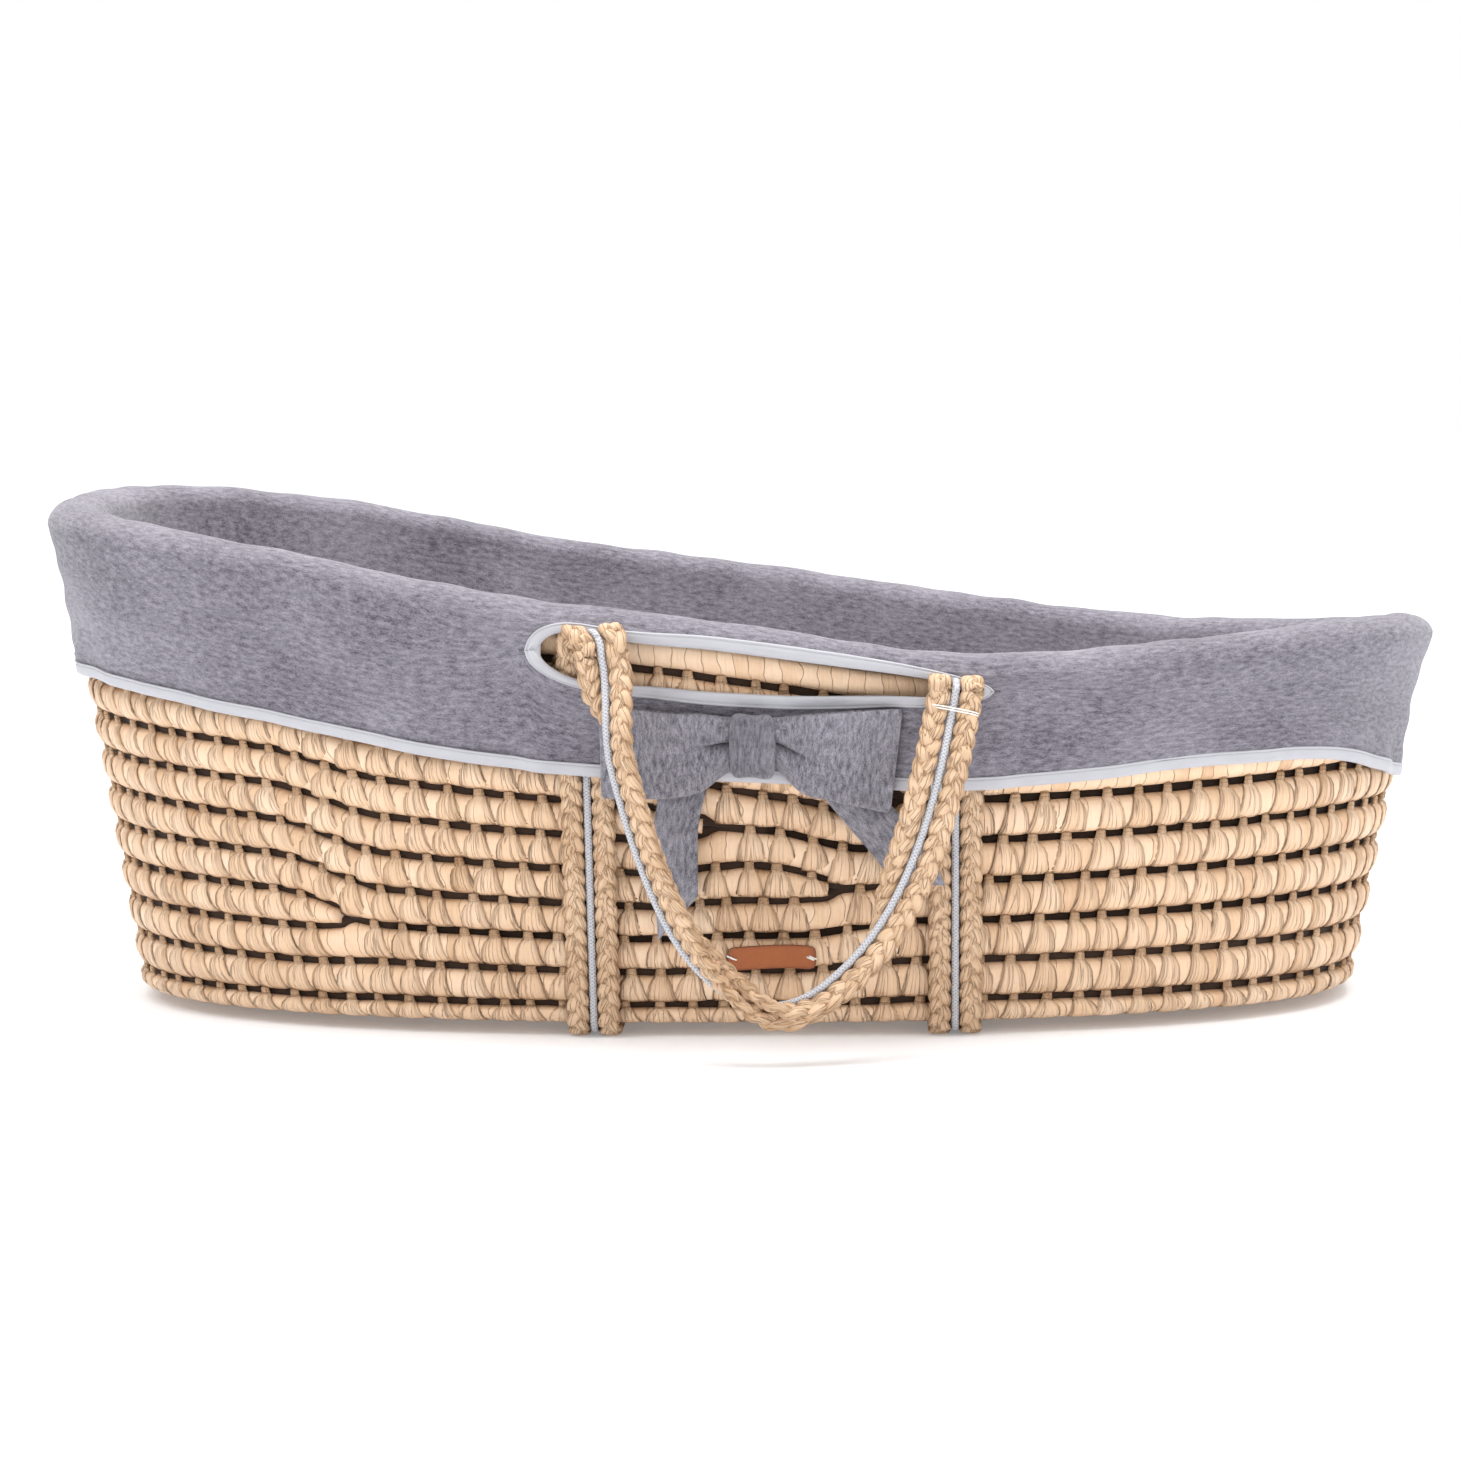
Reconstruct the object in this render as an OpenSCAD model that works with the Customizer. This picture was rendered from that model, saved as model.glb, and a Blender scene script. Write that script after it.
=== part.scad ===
// Moses basket: coiled leaf wall, fabric cover with a fold-over skirt, plaited
// carrying straps that run under the base, bows, a blank label and a mattress.
// X runs from the head (-X) to the foot (+X), the front is -Y, the floor is z = 0.

/* [Basket] */
// Half of the outer length at the rim, over the cover
rim_half_l = 420; // [410:1:430]
// Half of the outer width at the rim, over the cover
rim_half_w = 237; // [230:1:244]
// Half of the outer length of the coil at the base
base_half_l = 371; // [362:1:378]
// Half of the outer width of the coil at the base
base_half_w = 178; // [172:1:184]
// Where the rim is widest, measured towards the foot
widest_x = 20; // [0:1:30]
// Underside of the lowest coil row above the floor
coil_z = 6; // [5.5:0.5:7]
// Thickness of the wrapped coil across the wall
coil_t = 17; // [15:0.5:18]

/* [Rim height] */
// Height of the cover's fold at equal steps from the head to the foot
rim_heights = [306, 289, 263, 245, 226, 222, 228];
// Extra height of the front edge of the rim at the same steps
rim_lean = [-8, -6, -4, -3, -3, 8, 19];

/* [Cover] */
// Fabric and wadding on top of the rim coil
fold_lift = 12; // [10:0.5:14]
// Depth of the outer skirt at equal steps from the head to the foot
skirt_depths = [97.5, 98, 98.3, 97.6, 96, 93, 88, 80.5, 75, 72.8, 71.8, 78, 97];
// Fabric thickness
cloth_t = 2; // [1.5:0.1:2.4]
// Gap between the coil and the skirt
skirt_gap = 3.2; // [2.5:0.1:4]

/* [Carrying straps] */
// Centre of the strap nearer the head
strap_head_x = -80; // [-84:1:-76]
// Centre of the strap nearer the foot
strap_foot_x = 127; // [123:1:131]
// Width of one plait
plait_w = 13.5; // [12:0.5:14]
// Thickness of one plait on the wall
plait_t = 9; // [8:0.5:9]
// Width of the cord stitched between two plaits
cord_w = 4.4; // [3.5:0.1:4.6]

/* [Handles] */
// Lowest point of a hanging handle
handle_low_z = 31; // [26:1:40]
// Distance of the hinge line from the middle of the basket
hinge_y = 250; // [249:0.5:252]
// Height of the hinge line at the strap nearer the head
hinge_head_z = 226; // [224:1:227]
// Height of the hinge line at the strap nearer the foot
hinge_foot_z = 207; // [205:1:208]
// How far below the hinge line a handle stands out from the basket
handle_stand_off = 13; // [11:1:15]

/* [Mattress] */
// Half length of the mattress
mattress_half_l = 330; // [300:1:335]
// Half width of the mattress
mattress_half_w = 138; // [120:1:140]
// Thickness of the mattress
mattress_t = 35; // [25:1:40]

/* [Hidden] */

straw = "#dfc096";
jersey = "#96939f";
tape = "#c4c8d2";
leather = "#b8673a";

// Where each wall row stops, from the floor up; rows that go all round never stop
all_round = 2000;
row_ends = [all_round, all_round, all_round, -240, all_round, 60, all_round, -15,
    all_round, 90, all_round, all_round, all_round];

coil_out = 6;                          // cover stands this far outside the coil at the rim
gap = 0.2;                             // clearance between neighbouring solids
plait_base_t = coil_z - gap;           // a plait pressed flat under the base just reaches the floor
wall_steps = 44;                       // stations around the wall
skirt_steps = 84;                      // stations around the skirt, fine enough for the straps
slot_head_x = -116;
slot_foot_x = 150;
slot_head_z = 223;
slot_foot_z = 206;
slot_half_h = 18;
handle_low_x = 32;                     // where a hanging handle is lowest
strap_w = 2*plait_w + cord_w;
strap_turn_r = 4;                      // bend of a strap over the rim coil
cover_floor_z = coil_z + coil_t + 1;
mattress_z = cover_floor_z + cloth_t + 1;

function mix(a, b, t) = a + (b - a)*t;
function clamp01(t) = min(max(t, 0), 1);
function smooth(t) = let(u = clamp01(t)) u*u*(3 - 2*u);

// Smooth curve through equally spaced heights, t from 0 to 1
function through(v, t) =
    let(n = len(v) - 1, s = clamp01(t)*n, i = min(floor(s), n - 1), u = s - i,
        a = v[max(i - 1, 0)], b = v[i], c = v[i + 1], d = v[min(i + 2, n)])
    0.5*(2*b + (c - a)*u + (2*a - 5*b + 4*c - d)*u*u + (3*b - a - 3*c + d)*u*u*u);

function rim_z(x, y) =
    let(t = (x + rim_half_l)/(2*rim_half_l))
    through(rim_heights, t) - through(rim_lean, t)*y/rim_half_w;

// Egg-shaped outline of the coil's outer face: f is 0 at the base and 1 at the rim,
// a is the angle and off moves the outline outwards
function half_l(f) = mix(base_half_l, rim_half_l - coil_out, f);
function half_w(f) = mix(base_half_w, rim_half_w - coil_out, f);
function head_power(f) = mix(2.4, 2.5, f);
function foot_power(f) = mix(2.4, 1.9, f);
function egg(f, a, off = 0) =
    let(c = cos(a), s = sin(a), p = c < 0 ? head_power(f) : foot_power(f),
        mid = widest_x*f, r = pow(pow(abs(c), p) + pow(abs(s), p), -1/p),
        l = half_l(f) + off + (c < 0 ? mid : -mid))
    [mid + l*c*r, (half_w(f) + off)*s*r];

// Half width of the coil's outer face at a given x
function wall_y(x, f) =
    let(mid = widest_x*f, p = x < mid ? head_power(f) : foot_power(f),
        l = half_l(f) + (x < mid ? mid : -mid), u = clamp01(abs(x - mid)/l))
    half_w(f)*pow(1 - pow(u, p), 1/p);

function coil_top(a) = let(q = egg(1, a)) rim_z(q[0], q[1]) - fold_lift;

// Point at angle a and height z, off from the coil's outer face
function ring_point(a, off, z) =
    let(f = clamp01((z - coil_z)/(coil_top(a) - coil_z)), q = egg(f, a, off)) [q[0], q[1], z];
function wall_x(a) = egg(0.6, a)[0];

// The lowest row is pressed flatter; a short row keeps its height up to its cut end
function weight(k, x) = (k == 0 ? 0.62 : 1)*smooth((row_ends[k] + 60 - x)/100);
function stack(k, x, i = 0, s = 0) = i >= k ? s : stack(k, x, i + 1, s + weight(i, x));
function row_edge(k, a) =
    let(x = wall_x(a))
    mix(coil_z, coil_top(a), stack(k, x)/stack(len(row_ends), x));

// Solid through sections: each section is a list of points, all the same length
module loft(sections, closed) {
    n = len(sections);
    m = len(sections[0]);
    pts = [for (s = sections) each s];
    last = closed ? n - 1 : n - 2;
    sides = [for (i = [0:last], j = [0:m - 1])
        let(i2 = (i + 1)%n, j2 = (j + 1)%m)
        each [[i*m + j, i*m + j2, i2*m + j2], [i*m + j, i2*m + j2, i2*m + j]]];
    caps = closed ? [] : [[for (j = [m - 1:-1:0]) j], [for (j = [0:m - 1]) (n - 1)*m + j]];
    polyhedron(points = pts, faces = concat(sides, caps), convexity = 10);
}

// Section of wall row k at angle a: a rounded eight-sided coil that leans with the wall
function row_section(k, a) =
    let(lo = row_edge(k, a), hi = row_edge(k + 1, a), spare = row_ends[k] < rim_half_l ? 8*gap : gap,
        hh = (hi - lo)/2 - spare, ct = coil_t/2)
    [for (j = [0:7])
        let(b = 22.5 + 45*j, z = (lo + hi)/2 + hh*sin(b)/cos(22.5))
        ring_point(a, -ct + ct*cos(b)/cos(22.5), z)];

module wall_row(k) {
    color(straw)
    loft([for (i = [0:wall_steps - 1]) row_section(k, 360*i/wall_steps)], true);
}

// Angle at which the wall reaches a given x, found by halving
function angle_at(x, lo = 0, hi = 180, n = 24) =
    n == 0 ? (lo + hi)/2 :
    let(m = (lo + hi)/2)
    wall_x(m) > x ? angle_at(x, m, hi, n - 1) : angle_at(x, lo, m, n - 1);

// A short row uses the whole rows' stations between its two cut ends
module short_row(k) {
    a0 = angle_at(row_ends[k]);
    stations = [for (i = [0:wall_steps - 1]) let(a = 360*i/wall_steps) if (a > a0 + 2 && a < 358 - a0) a];
    color(straw)
    loft([for (a = concat([a0], stations, [360 - a0])) row_section(k, a)], false);
}

module base_coil() {
    color(straw)
    translate([0, 0, coil_z])
    linear_extrude(coil_t - 1)
    polygon([for (i = [0:71]) egg(0, 5*i, -coil_t - 0.6)]);
}

// ---- straps under the basket ----

function strap_top(x) = mix(hinge_head_z, hinge_foot_z, (x - strap_head_x)/(strap_foot_x - strap_head_x));
function wall_f(x, s, z) = clamp01((z - coil_z)/(rim_z(x, s*rim_half_w) - fold_lift - coil_z));

// Path of a strap down one side and under the base, as [height, inset from the wall, thickness,
// slope of the outward direction]; it bends round the lowest row
strap_bend_r = 6;
function strap_side(x) = [for (i = [0:8]) [mix(strap_top(x), coil_z + 22, i/8), -gap, plait_t, 0]];
strap_corner = [for (i = [0:4])
    let(b = 22.5*i)
    [coil_z - gap + strap_bend_r*(1 - sin(b)), strap_bend_r - (strap_bend_r + gap)*cos(b), mix(plait_t, plait_base_t, i/4), b]];
function reverse(v) = [for (i = [len(v) - 1:-1:0]) v[i]];

// Flat-bottomed six-sided plait, w wide, on the outer side of the path; s is -1 at the front
function strap_section(p, x0, x, w, k, s) =
    [for (q = [[-0.5, 0.25], [-0.3, 0], [0.3, 0], [0.5, 0.25], [0.3, 1], [-0.3, 1]])
        let(px = x + q[0]*w, out = p[2]*k*q[1])
        [px, s*(wall_y(px, wall_f(x0, s, p[0])) - p[1] + out*cos(p[3])), p[0] - out*sin(p[3])]];

module strap(x0, x, w, k) {
    path = concat(strap_side(x0), strap_corner);
    loft(concat([for (p = path) strap_section(p, x0, x, w, k, -1)],
        [for (p = reverse(path)) strap_section(p, x0, x, w, k, 1)]), false);
}

module strap_plait(x0, side) {
    color(straw)
    strap(x0, x0 + side*(plait_w + cord_w)/2, plait_w - gap, 1);
}

module strap_cord(x0) {
    color(tape)
    strap(x0, x0, cord_w - gap, 0.7);
}

// Short bend over the rim coil at the top of each strap
module strap_turn(x, s) {
    z = strap_top(x) + gap;
    y = max(wall_y(x - strap_w/2, wall_f(x, s, z)), wall_y(x + strap_w/2, wall_f(x, s, z))) + gap;
    color(straw)
    translate([x - strap_w/2 + 6, s*(y + strap_turn_r), z])
    rotate([90, 0, 90])
    linear_extrude(strap_w - 12)
    intersection() {
        circle(r = strap_turn_r, $fn = 48);
        translate([s > 0 ? -strap_turn_r : 0, 0]) square(strap_turn_r);
    }
}

module strap_turns(s) {
    strap_turn(strap_head_x, s);
    strap_turn(strap_foot_x, s);
}

// ---- hanging handles ----

// A handle hangs as a catenary between the hinge ends; u is 0 at its lowest point
drop_a = 39;
function handle_z(u) = handle_low_z + drop_a*((exp(u) + exp(-u))/2 - 1);
function handle_reach(drop) = let(c = 1 + drop/drop_a) ln(c + sqrt(c*c - 1));
head_reach = handle_reach(hinge_head_z - handle_low_z);
foot_reach = handle_reach(hinge_foot_z - handle_low_z);
function handle_x(u) =
    handle_low_x + u*(u < 0 ? (handle_low_x - strap_head_x - 12)/head_reach : (strap_foot_x - handle_low_x)/foot_reach);
function handle_y(u) =
    let(top = u < 0 ? hinge_head_z : hinge_foot_z)
    hinge_y + handle_stand_off*smooth((top - handle_z(u) - 3)/40);

// The strap faces the front at its ends and turns edge-on along the head-side leg
function handle_twist(u) = 80*smooth((u + head_reach)/0.4)*(1 - smooth((u - 0.3)/(foot_reach - 0.6)));

// Section at u: lo and hi are the ends of this strip across the strap's width
function handle_section(u, s, lo, hi, t) =
    let(x = handle_x(u), y = handle_y(u), z = handle_z(u), d = 0.02,
        dx = handle_x(u + d) - handle_x(u - d), dz = handle_z(u + d) - handle_z(u - d), n = norm([dx, dz]),
        across = [-dz/n, 0, dx/n], out = [0, s, 0], tw = s*handle_twist(u),
        wide = across*cos(tw) - out*sin(tw), thick = out*cos(tw) + across*sin(tw))
    [for (q = [[0, -0.25], [0, 0.25], [0.25, 0.5], [0.75, 0.5], [1, 0.25], [1, -0.25], [0.75, -0.5], [0.25, -0.5]])
        [x, s*y, z] + wide*mix(lo, hi, q[0]) + thick*t*q[1]];

module handle_strip(s, lo, hi, t, shade) {
    steps = 34;
    color(shade)
    loft([for (i = [0:steps]) handle_section(mix(-head_reach, foot_reach, i/steps), s, lo, hi, t)], false);
}

module handle_upper_plait(s) {
    handle_strip(s, cord_w/2 + gap, cord_w/2 + plait_w, plait_t, straw);
}

module handle_lower_plait(s) {
    handle_strip(s, -cord_w/2 - plait_w, -cord_w/2 - gap, plait_t, straw);
}

module handle_cord(s) {
    handle_strip(s, -cord_w/2 + 2*gap, cord_w/2 - 2*gap, plait_t*0.6, tape);
}

// Thread whipped round the strap below its foot-side end
module handle_thread(s) {
    u = foot_reach*0.97;
    z = handle_z(u);
    y = handle_y(u);
    color("ivory")
    translate([handle_x(u), s*y, z])
    difference() {
        cube([strap_w + 8, plait_t + 8, 1.6], center = true);
        cube([strap_w + 6.4, plait_t + 6.4, 3], center = true);
    }
}

// ---- fabric cover ----

function fold_z(a) = let(q = egg(1, a, coil_out)) rim_z(q[0], q[1]);

module cover_liner() {
    w = -coil_t - 7;
    color(jersey)
    loft([for (i = [0:wall_steps - 1])
        let(a = 360*i/wall_steps, zb = cover_floor_z, zf = fold_z(a), zm = mix(zb, zf, 0.5))
        [ring_point(a, w, zb), ring_point(a, w, zm), ring_point(a, w, zf - 16), ring_point(a, w + 9, zf - cloth_t - 0.5),
            ring_point(a, -9, zf - cloth_t), ring_point(a, -9, zf), ring_point(a, w + 6, zf - 1),
            ring_point(a, w - cloth_t, zf - 13), ring_point(a, w - cloth_t, zm), ring_point(a, w - cloth_t, zb)]], true);
}

module cover_wadding() {
    w = -coil_t - 0.8;
    t = 4.6;
    levels = 4;
    color("white")
    loft([for (i = [0:wall_steps - 1])
        let(a = 360*i/wall_steps, zb = cover_floor_z, zt = coil_top(a) - 8)
        concat([for (j = [0:levels]) ring_point(a, w, mix(zb, zt, j/levels))],
            [for (j = [levels:-1:0]) ring_point(a, w - t, mix(zb, zt, j/levels))])], true);
}

module cover_base() {
    color(jersey)
    translate([0, 0, cover_floor_z])
    linear_extrude(cloth_t)
    polygon([for (i = [0:71]) egg(0, 5*i, -coil_t - 7 - cloth_t - 1)]);
}

// The straps push the skirt out where they run under it
function strap_bump(x) =
    max(smooth((64 - abs(x - strap_head_x))/22), smooth((64 - abs(x - strap_foot_x))/22));
function skirt_off(x) = skirt_gap + 8*strap_bump(x);
function hem_z(a) =
    let(q = egg(1, a, coil_out), t = (q[0] + rim_half_l)/(2*rim_half_l))
    rim_z(q[0], q[1]) - through(skirt_depths, t);

// Outer face of the cover above the coil's outer face, zf is the fold and zh the hem
function cover_off(x, z, zf, zh) =
    mix(skirt_off(x) + cloth_t, coil_out + 1 + 3*strap_bump(x), smooth((z - mix(zh, zf, 0.55))/(0.35*(zf - zh))));

// Lens-shaped opening for the straps, its half height at x, with an added margin
function slot_half(x, grow = 0) =
    let(t = clamp01((x - slot_head_x + grow)/(slot_foot_x - slot_head_x + 2*grow)))
    (slot_half_h + grow)*pow(2*sqrt(t - t*t), 0.6);
function slot_mid(x) = mix(slot_head_z, slot_foot_z, (x - slot_head_x)/(slot_foot_x - slot_head_x));

// Station angle: stations are even around the wall
function skirt_angle(i) = 360*i/skirt_steps;
function in_slot(i) =
    let(x = egg(0.85, skirt_angle(i))[0], y = egg(0.85, skirt_angle(i))[1])
    x > slot_head_x && x < slot_foot_x && abs(y) > 60;

// Heights from the fold down to the hem; the opening lies between the fourth and the fifth
function skirt_levels(i) =
    let(a = skirt_angle(i), zf = fold_z(a), zh = hem_z(a), x = wall_x(a), far = max(slot_head_x - x, x - slot_foot_x, 0),
        mid = mix(slot_mid(x), mix(zh, zf, 0.62), smooth(far/120)), h = in_slot(i) ? max(slot_half(x), 2) : 2)
    [zf, zf - 3, zf - 9, min(mid + h, zf - 10), mid - h, mix(zh, mid - h, 0.5), zh];
function skirt_side(i, inner) =
    let(a = skirt_angle(i), x = wall_x(a), lv = skirt_levels(i), c = inner ? cloth_t : 0)
    [for (j = [0:len(lv) - 1])
        let(z = lv[j] - (inner && j < 3 ? c*(1 - j/3) : 0),
            off = j == 0 ? -8.6 : j == 1 ? coil_out - 2 - c : cover_off(x, lv[j], lv[0], lv[6]) - c)
        ring_point(a, off, z)];

module cover_skirt() {
    n = skirt_steps;
    m = 7;
    top = 3;
    pts = concat([for (i = [0:n - 1]) each skirt_side(i, false)], [for (i = [0:n - 1]) each skirt_side(i, true)]);
    function id(i, j, inner) = (inner ? n*m : 0) + (i%n)*m + j;
    function hole(i) = in_slot(i%n) && in_slot((i + 1)%n);
    function quad(a, b, c, d) = [[a, b, c], [a, c, d]];
    walls = [for (i = [0:n - 1], j = [0:m - 2]) if (j != top || !hole(i)) each concat(
        quad(id(i, j, false), id(i + 1, j, false), id(i + 1, j + 1, false), id(i, j + 1, false)),
        quad(id(i, j + 1, true), id(i + 1, j + 1, true), id(i + 1, j, true), id(i, j, true)))];
    rims = [for (i = [0:n - 1]) each concat(
        quad(id(i, 0, true), id(i + 1, 0, true), id(i + 1, 0, false), id(i, 0, false)),
        quad(id(i, m - 1, false), id(i + 1, m - 1, false), id(i + 1, m - 1, true), id(i, m - 1, true)))];
    edges = [for (i = [0:n - 1]) if (hole(i)) each concat(
        quad(id(i, top, false), id(i + 1, top, false), id(i + 1, top, true), id(i, top, true)),
        quad(id(i, top + 1, true), id(i + 1, top + 1, true), id(i + 1, top + 1, false), id(i, top + 1, false)))];
    ends = [for (i = [0:n - 1]) each concat(
        hole(i) && !hole(i + n - 1) ?
            quad(id(i, top, true), id(i, top + 1, true), id(i, top + 1, false), id(i, top, false)) : [],
        hole(i + n - 1) && !hole(i) ?
            quad(id(i, top, false), id(i, top + 1, false), id(i, top + 1, true), id(i, top, true)) : [])];
    color(jersey)
    polyhedron(points = pts, faces = concat(walls, rims, edges, ends), convexity = 10);
}

module hem_binding() {
    color(tape)
    loft([for (i = [0:skirt_steps - 1])
        let(a = 360*i/skirt_steps, z = hem_z(a) - gap, off = skirt_off(wall_x(a)))
        [ring_point(a, off, z), ring_point(a, off + 2.6, z), ring_point(a, off + 2.6, z - 7), ring_point(a, off, z - 7)]],
        true);
}

// Outer face of the skirt at a given x and z on side s
function skirt_y(x, z, s) =
    let(zf = rim_z(x, s*rim_half_w), t = (x + rim_half_l)/(2*rim_half_l), zh = zf - through(skirt_depths, t))
    wall_y(x, wall_f(x, s, z)) + cover_off(x, z, zf, zh);

function slot_point(b, grow, s, out) =
    let(x = mix(slot_head_x - grow, slot_foot_x + grow, (1 - cos(b))/2),
        z = slot_mid(x) + sign(sin(b))*slot_half(x, grow))
    [x, s*(skirt_y(x, z, s) + out), z];

module slot_binding(s) {
    color(tape)
    loft([for (i = [0:35])
        let(b = 10*i + 5)
        [slot_point(b, 1, s, 1.6), slot_point(b, 1, s, 3.4), slot_point(b, -5, s, 3.4), slot_point(b, -5, s, 1.6)]], true);
}

// ---- bows ----

// Outer face of the skirt under a bow
function bow_y(x, z, s) = skirt_y(x, z, s) + 1;

// Loop of a bow from the knot at x0 to its end at x1, where it reaches from z0 to z1
module bow_loop(x0, x1, z0, z1, s) {
    steps = 6;
    color(jersey)
    loft([for (i = [0:steps])
        let(u = i/steps, x = mix(x0, x1, u), open = smooth(1.2*u), lo = mix(160, z0, open), hi = mix(186, z1, open),
            t = mix(7, 4, u) + 2*sin(180*u), levels = [lo, mix(lo, hi, 0.5), hi])
        concat([for (z = levels) [x, s*(bow_y(x, z, s) + 1.4), z]],
            [for (z = reverse(levels)) [x, s*(bow_y(x, z, s) + 1.4 + t), z]])], false);
}

module bow_knot(s) {
    y = bow_y(14, 173, s);
    color(jersey)
    translate([14, s*(y + 8), 173])
    rotate([0, 90, 0])
    linear_extrude(24, center = true)
    scale([1.35, 0.5])
    circle(r = 15, $fn = 40);
}

module bow_tail(x0, z0, x1, z1, w, s) {
    y = bow_y(x0, z0, s) + 1;
    color(jersey)
    hull() {
        translate([x0 - w/2, s > 0 ? y : -y - 2, z0]) cube([w, 2, 2]);
        translate([x1 - w/2, s > 0 ? y - 6 : -y + 4, z1]) cube([w, 2, 2]);
    }
}

// ---- label ----

module label_patch() {
    z = 48.5;
    color(leather)
    translate([23, -wall_y(23, wall_f(23, -1, z)) - 2, z])
    rotate([13, 0, 0])
    cube([50, 1.8, 14], center = true);
}

module label_thread() {
    z = 48.5;
    color("ivory")
    for (x = [-19.5, 19.5])
        translate([23 + x, -wall_y(23, wall_f(23, -1, z)) - 3.4, z])
        rotate([13, 0, 0])
        cube([6, 0.8, 0.8], center = true);
}

// ---- mattress ----

module mattress_outline(inset) {
    polygon([for (i = [0:71])
        let(c = cos(5*i), s = sin(5*i), r = pow(pow(abs(c), 2.4) + pow(abs(s), 2.4), -1/2.4))
        [(mattress_half_l - inset)*c*r, (mattress_half_w - inset)*s*r]]);
}

module mattress_core() {
    color("white")
    translate([0, 0, mattress_z + 2])
    linear_extrude(mattress_t - 4)
    mattress_outline(2.2);
}

module mattress_cover() {
    color("whitesmoke")
    translate([0, 0, mattress_z])
    difference() {
        linear_extrude(mattress_t) mattress_outline(0);
        translate([0, 0, 1.8]) linear_extrude(mattress_t - 3.6) mattress_outline(2);
    }
}

base_coil();
wall_row(0);  // coil_row_01
wall_row(1);  // coil_row_02
wall_row(2);  // coil_row_03
short_row(3);  // short_row_low
wall_row(4);  // coil_row_04
short_row(5);  // short_row_middle
wall_row(6);  // coil_row_05
short_row(7);  // short_row_high
wall_row(8);  // coil_row_06
short_row(9);  // short_row_top
wall_row(10);  // coil_row_07
wall_row(11);  // coil_row_08
wall_row(12);  // rim_coil
strap_plait(strap_head_x, -1);  // head_strap_outer_plait
strap_plait(strap_head_x, 1);  // head_strap_inner_plait
strap_cord(strap_head_x);  // head_strap_cord
strap_plait(strap_foot_x, -1);  // foot_strap_inner_plait
strap_plait(strap_foot_x, 1);  // foot_strap_outer_plait
strap_cord(strap_foot_x);  // foot_strap_cord
strap_turns(-1);  // front_strap_turns
strap_turns(1);  // rear_strap_turns
handle_upper_plait(-1);  // front_handle_upper_plait
handle_lower_plait(-1);  // front_handle_lower_plait
handle_cord(-1);  // front_handle_cord
handle_thread(-1);  // front_handle_thread
handle_upper_plait(1);  // rear_handle_upper_plait
handle_lower_plait(1);  // rear_handle_lower_plait
handle_cord(1);  // rear_handle_cord
handle_thread(1);  // rear_handle_thread
cover_liner();
cover_wadding();
cover_base();
cover_skirt();
hem_binding();
slot_binding(-1);  // front_slot_binding
slot_binding(1);  // rear_slot_binding
bow_loop(1, -71, 144, 195, -1);  // front_bow_head_loop
bow_loop(27, 92, 136, 189, -1);  // front_bow_foot_loop
bow_knot(-1);  // front_bow_knot
bow_tail(-28, 140, -30, 62, 20, -1);  // front_bow_head_tail
bow_tail(72, 130, 104, 92, 26, -1);  // front_bow_foot_tail
bow_loop(1, -71, 144, 195, 1);  // rear_bow_head_loop
bow_loop(27, 92, 136, 189, 1);  // rear_bow_foot_loop
bow_knot(1);  // rear_bow_knot
bow_tail(-28, 140, -30, 62, 20, 1);  // rear_bow_head_tail
bow_tail(72, 130, 104, 92, 26, 1);  // rear_bow_foot_tail
label_patch();
label_thread();
mattress_core();
mattress_cover();
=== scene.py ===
# Moses basket: the looks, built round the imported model. Lengths here are in millimetres, and makePiece
# turns them into metres. X runs from the head to the foot, the front is -Y, and side is -1 at the front and
# 1 at the rear.
import bpy
import numpy as np
from mathutils import Matrix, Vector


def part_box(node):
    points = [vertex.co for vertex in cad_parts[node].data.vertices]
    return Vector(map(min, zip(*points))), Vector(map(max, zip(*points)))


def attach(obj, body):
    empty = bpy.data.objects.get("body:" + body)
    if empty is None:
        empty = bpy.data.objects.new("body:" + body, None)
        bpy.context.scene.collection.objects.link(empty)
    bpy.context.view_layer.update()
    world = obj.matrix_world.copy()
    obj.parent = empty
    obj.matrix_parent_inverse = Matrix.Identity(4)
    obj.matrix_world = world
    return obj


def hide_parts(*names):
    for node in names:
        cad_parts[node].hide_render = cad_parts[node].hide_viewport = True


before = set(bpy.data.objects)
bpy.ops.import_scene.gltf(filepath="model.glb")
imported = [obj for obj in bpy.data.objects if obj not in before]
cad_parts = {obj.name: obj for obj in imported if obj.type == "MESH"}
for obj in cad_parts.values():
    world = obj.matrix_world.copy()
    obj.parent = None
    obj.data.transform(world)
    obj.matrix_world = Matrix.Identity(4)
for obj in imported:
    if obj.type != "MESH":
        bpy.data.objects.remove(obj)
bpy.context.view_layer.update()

pi = np.pi


def cadBox(node):
    # lowest and highest corner of a CAD node, in millimetres
    low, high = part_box(node)
    return np.array(low) * 1000, np.array(high) * 1000


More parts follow.
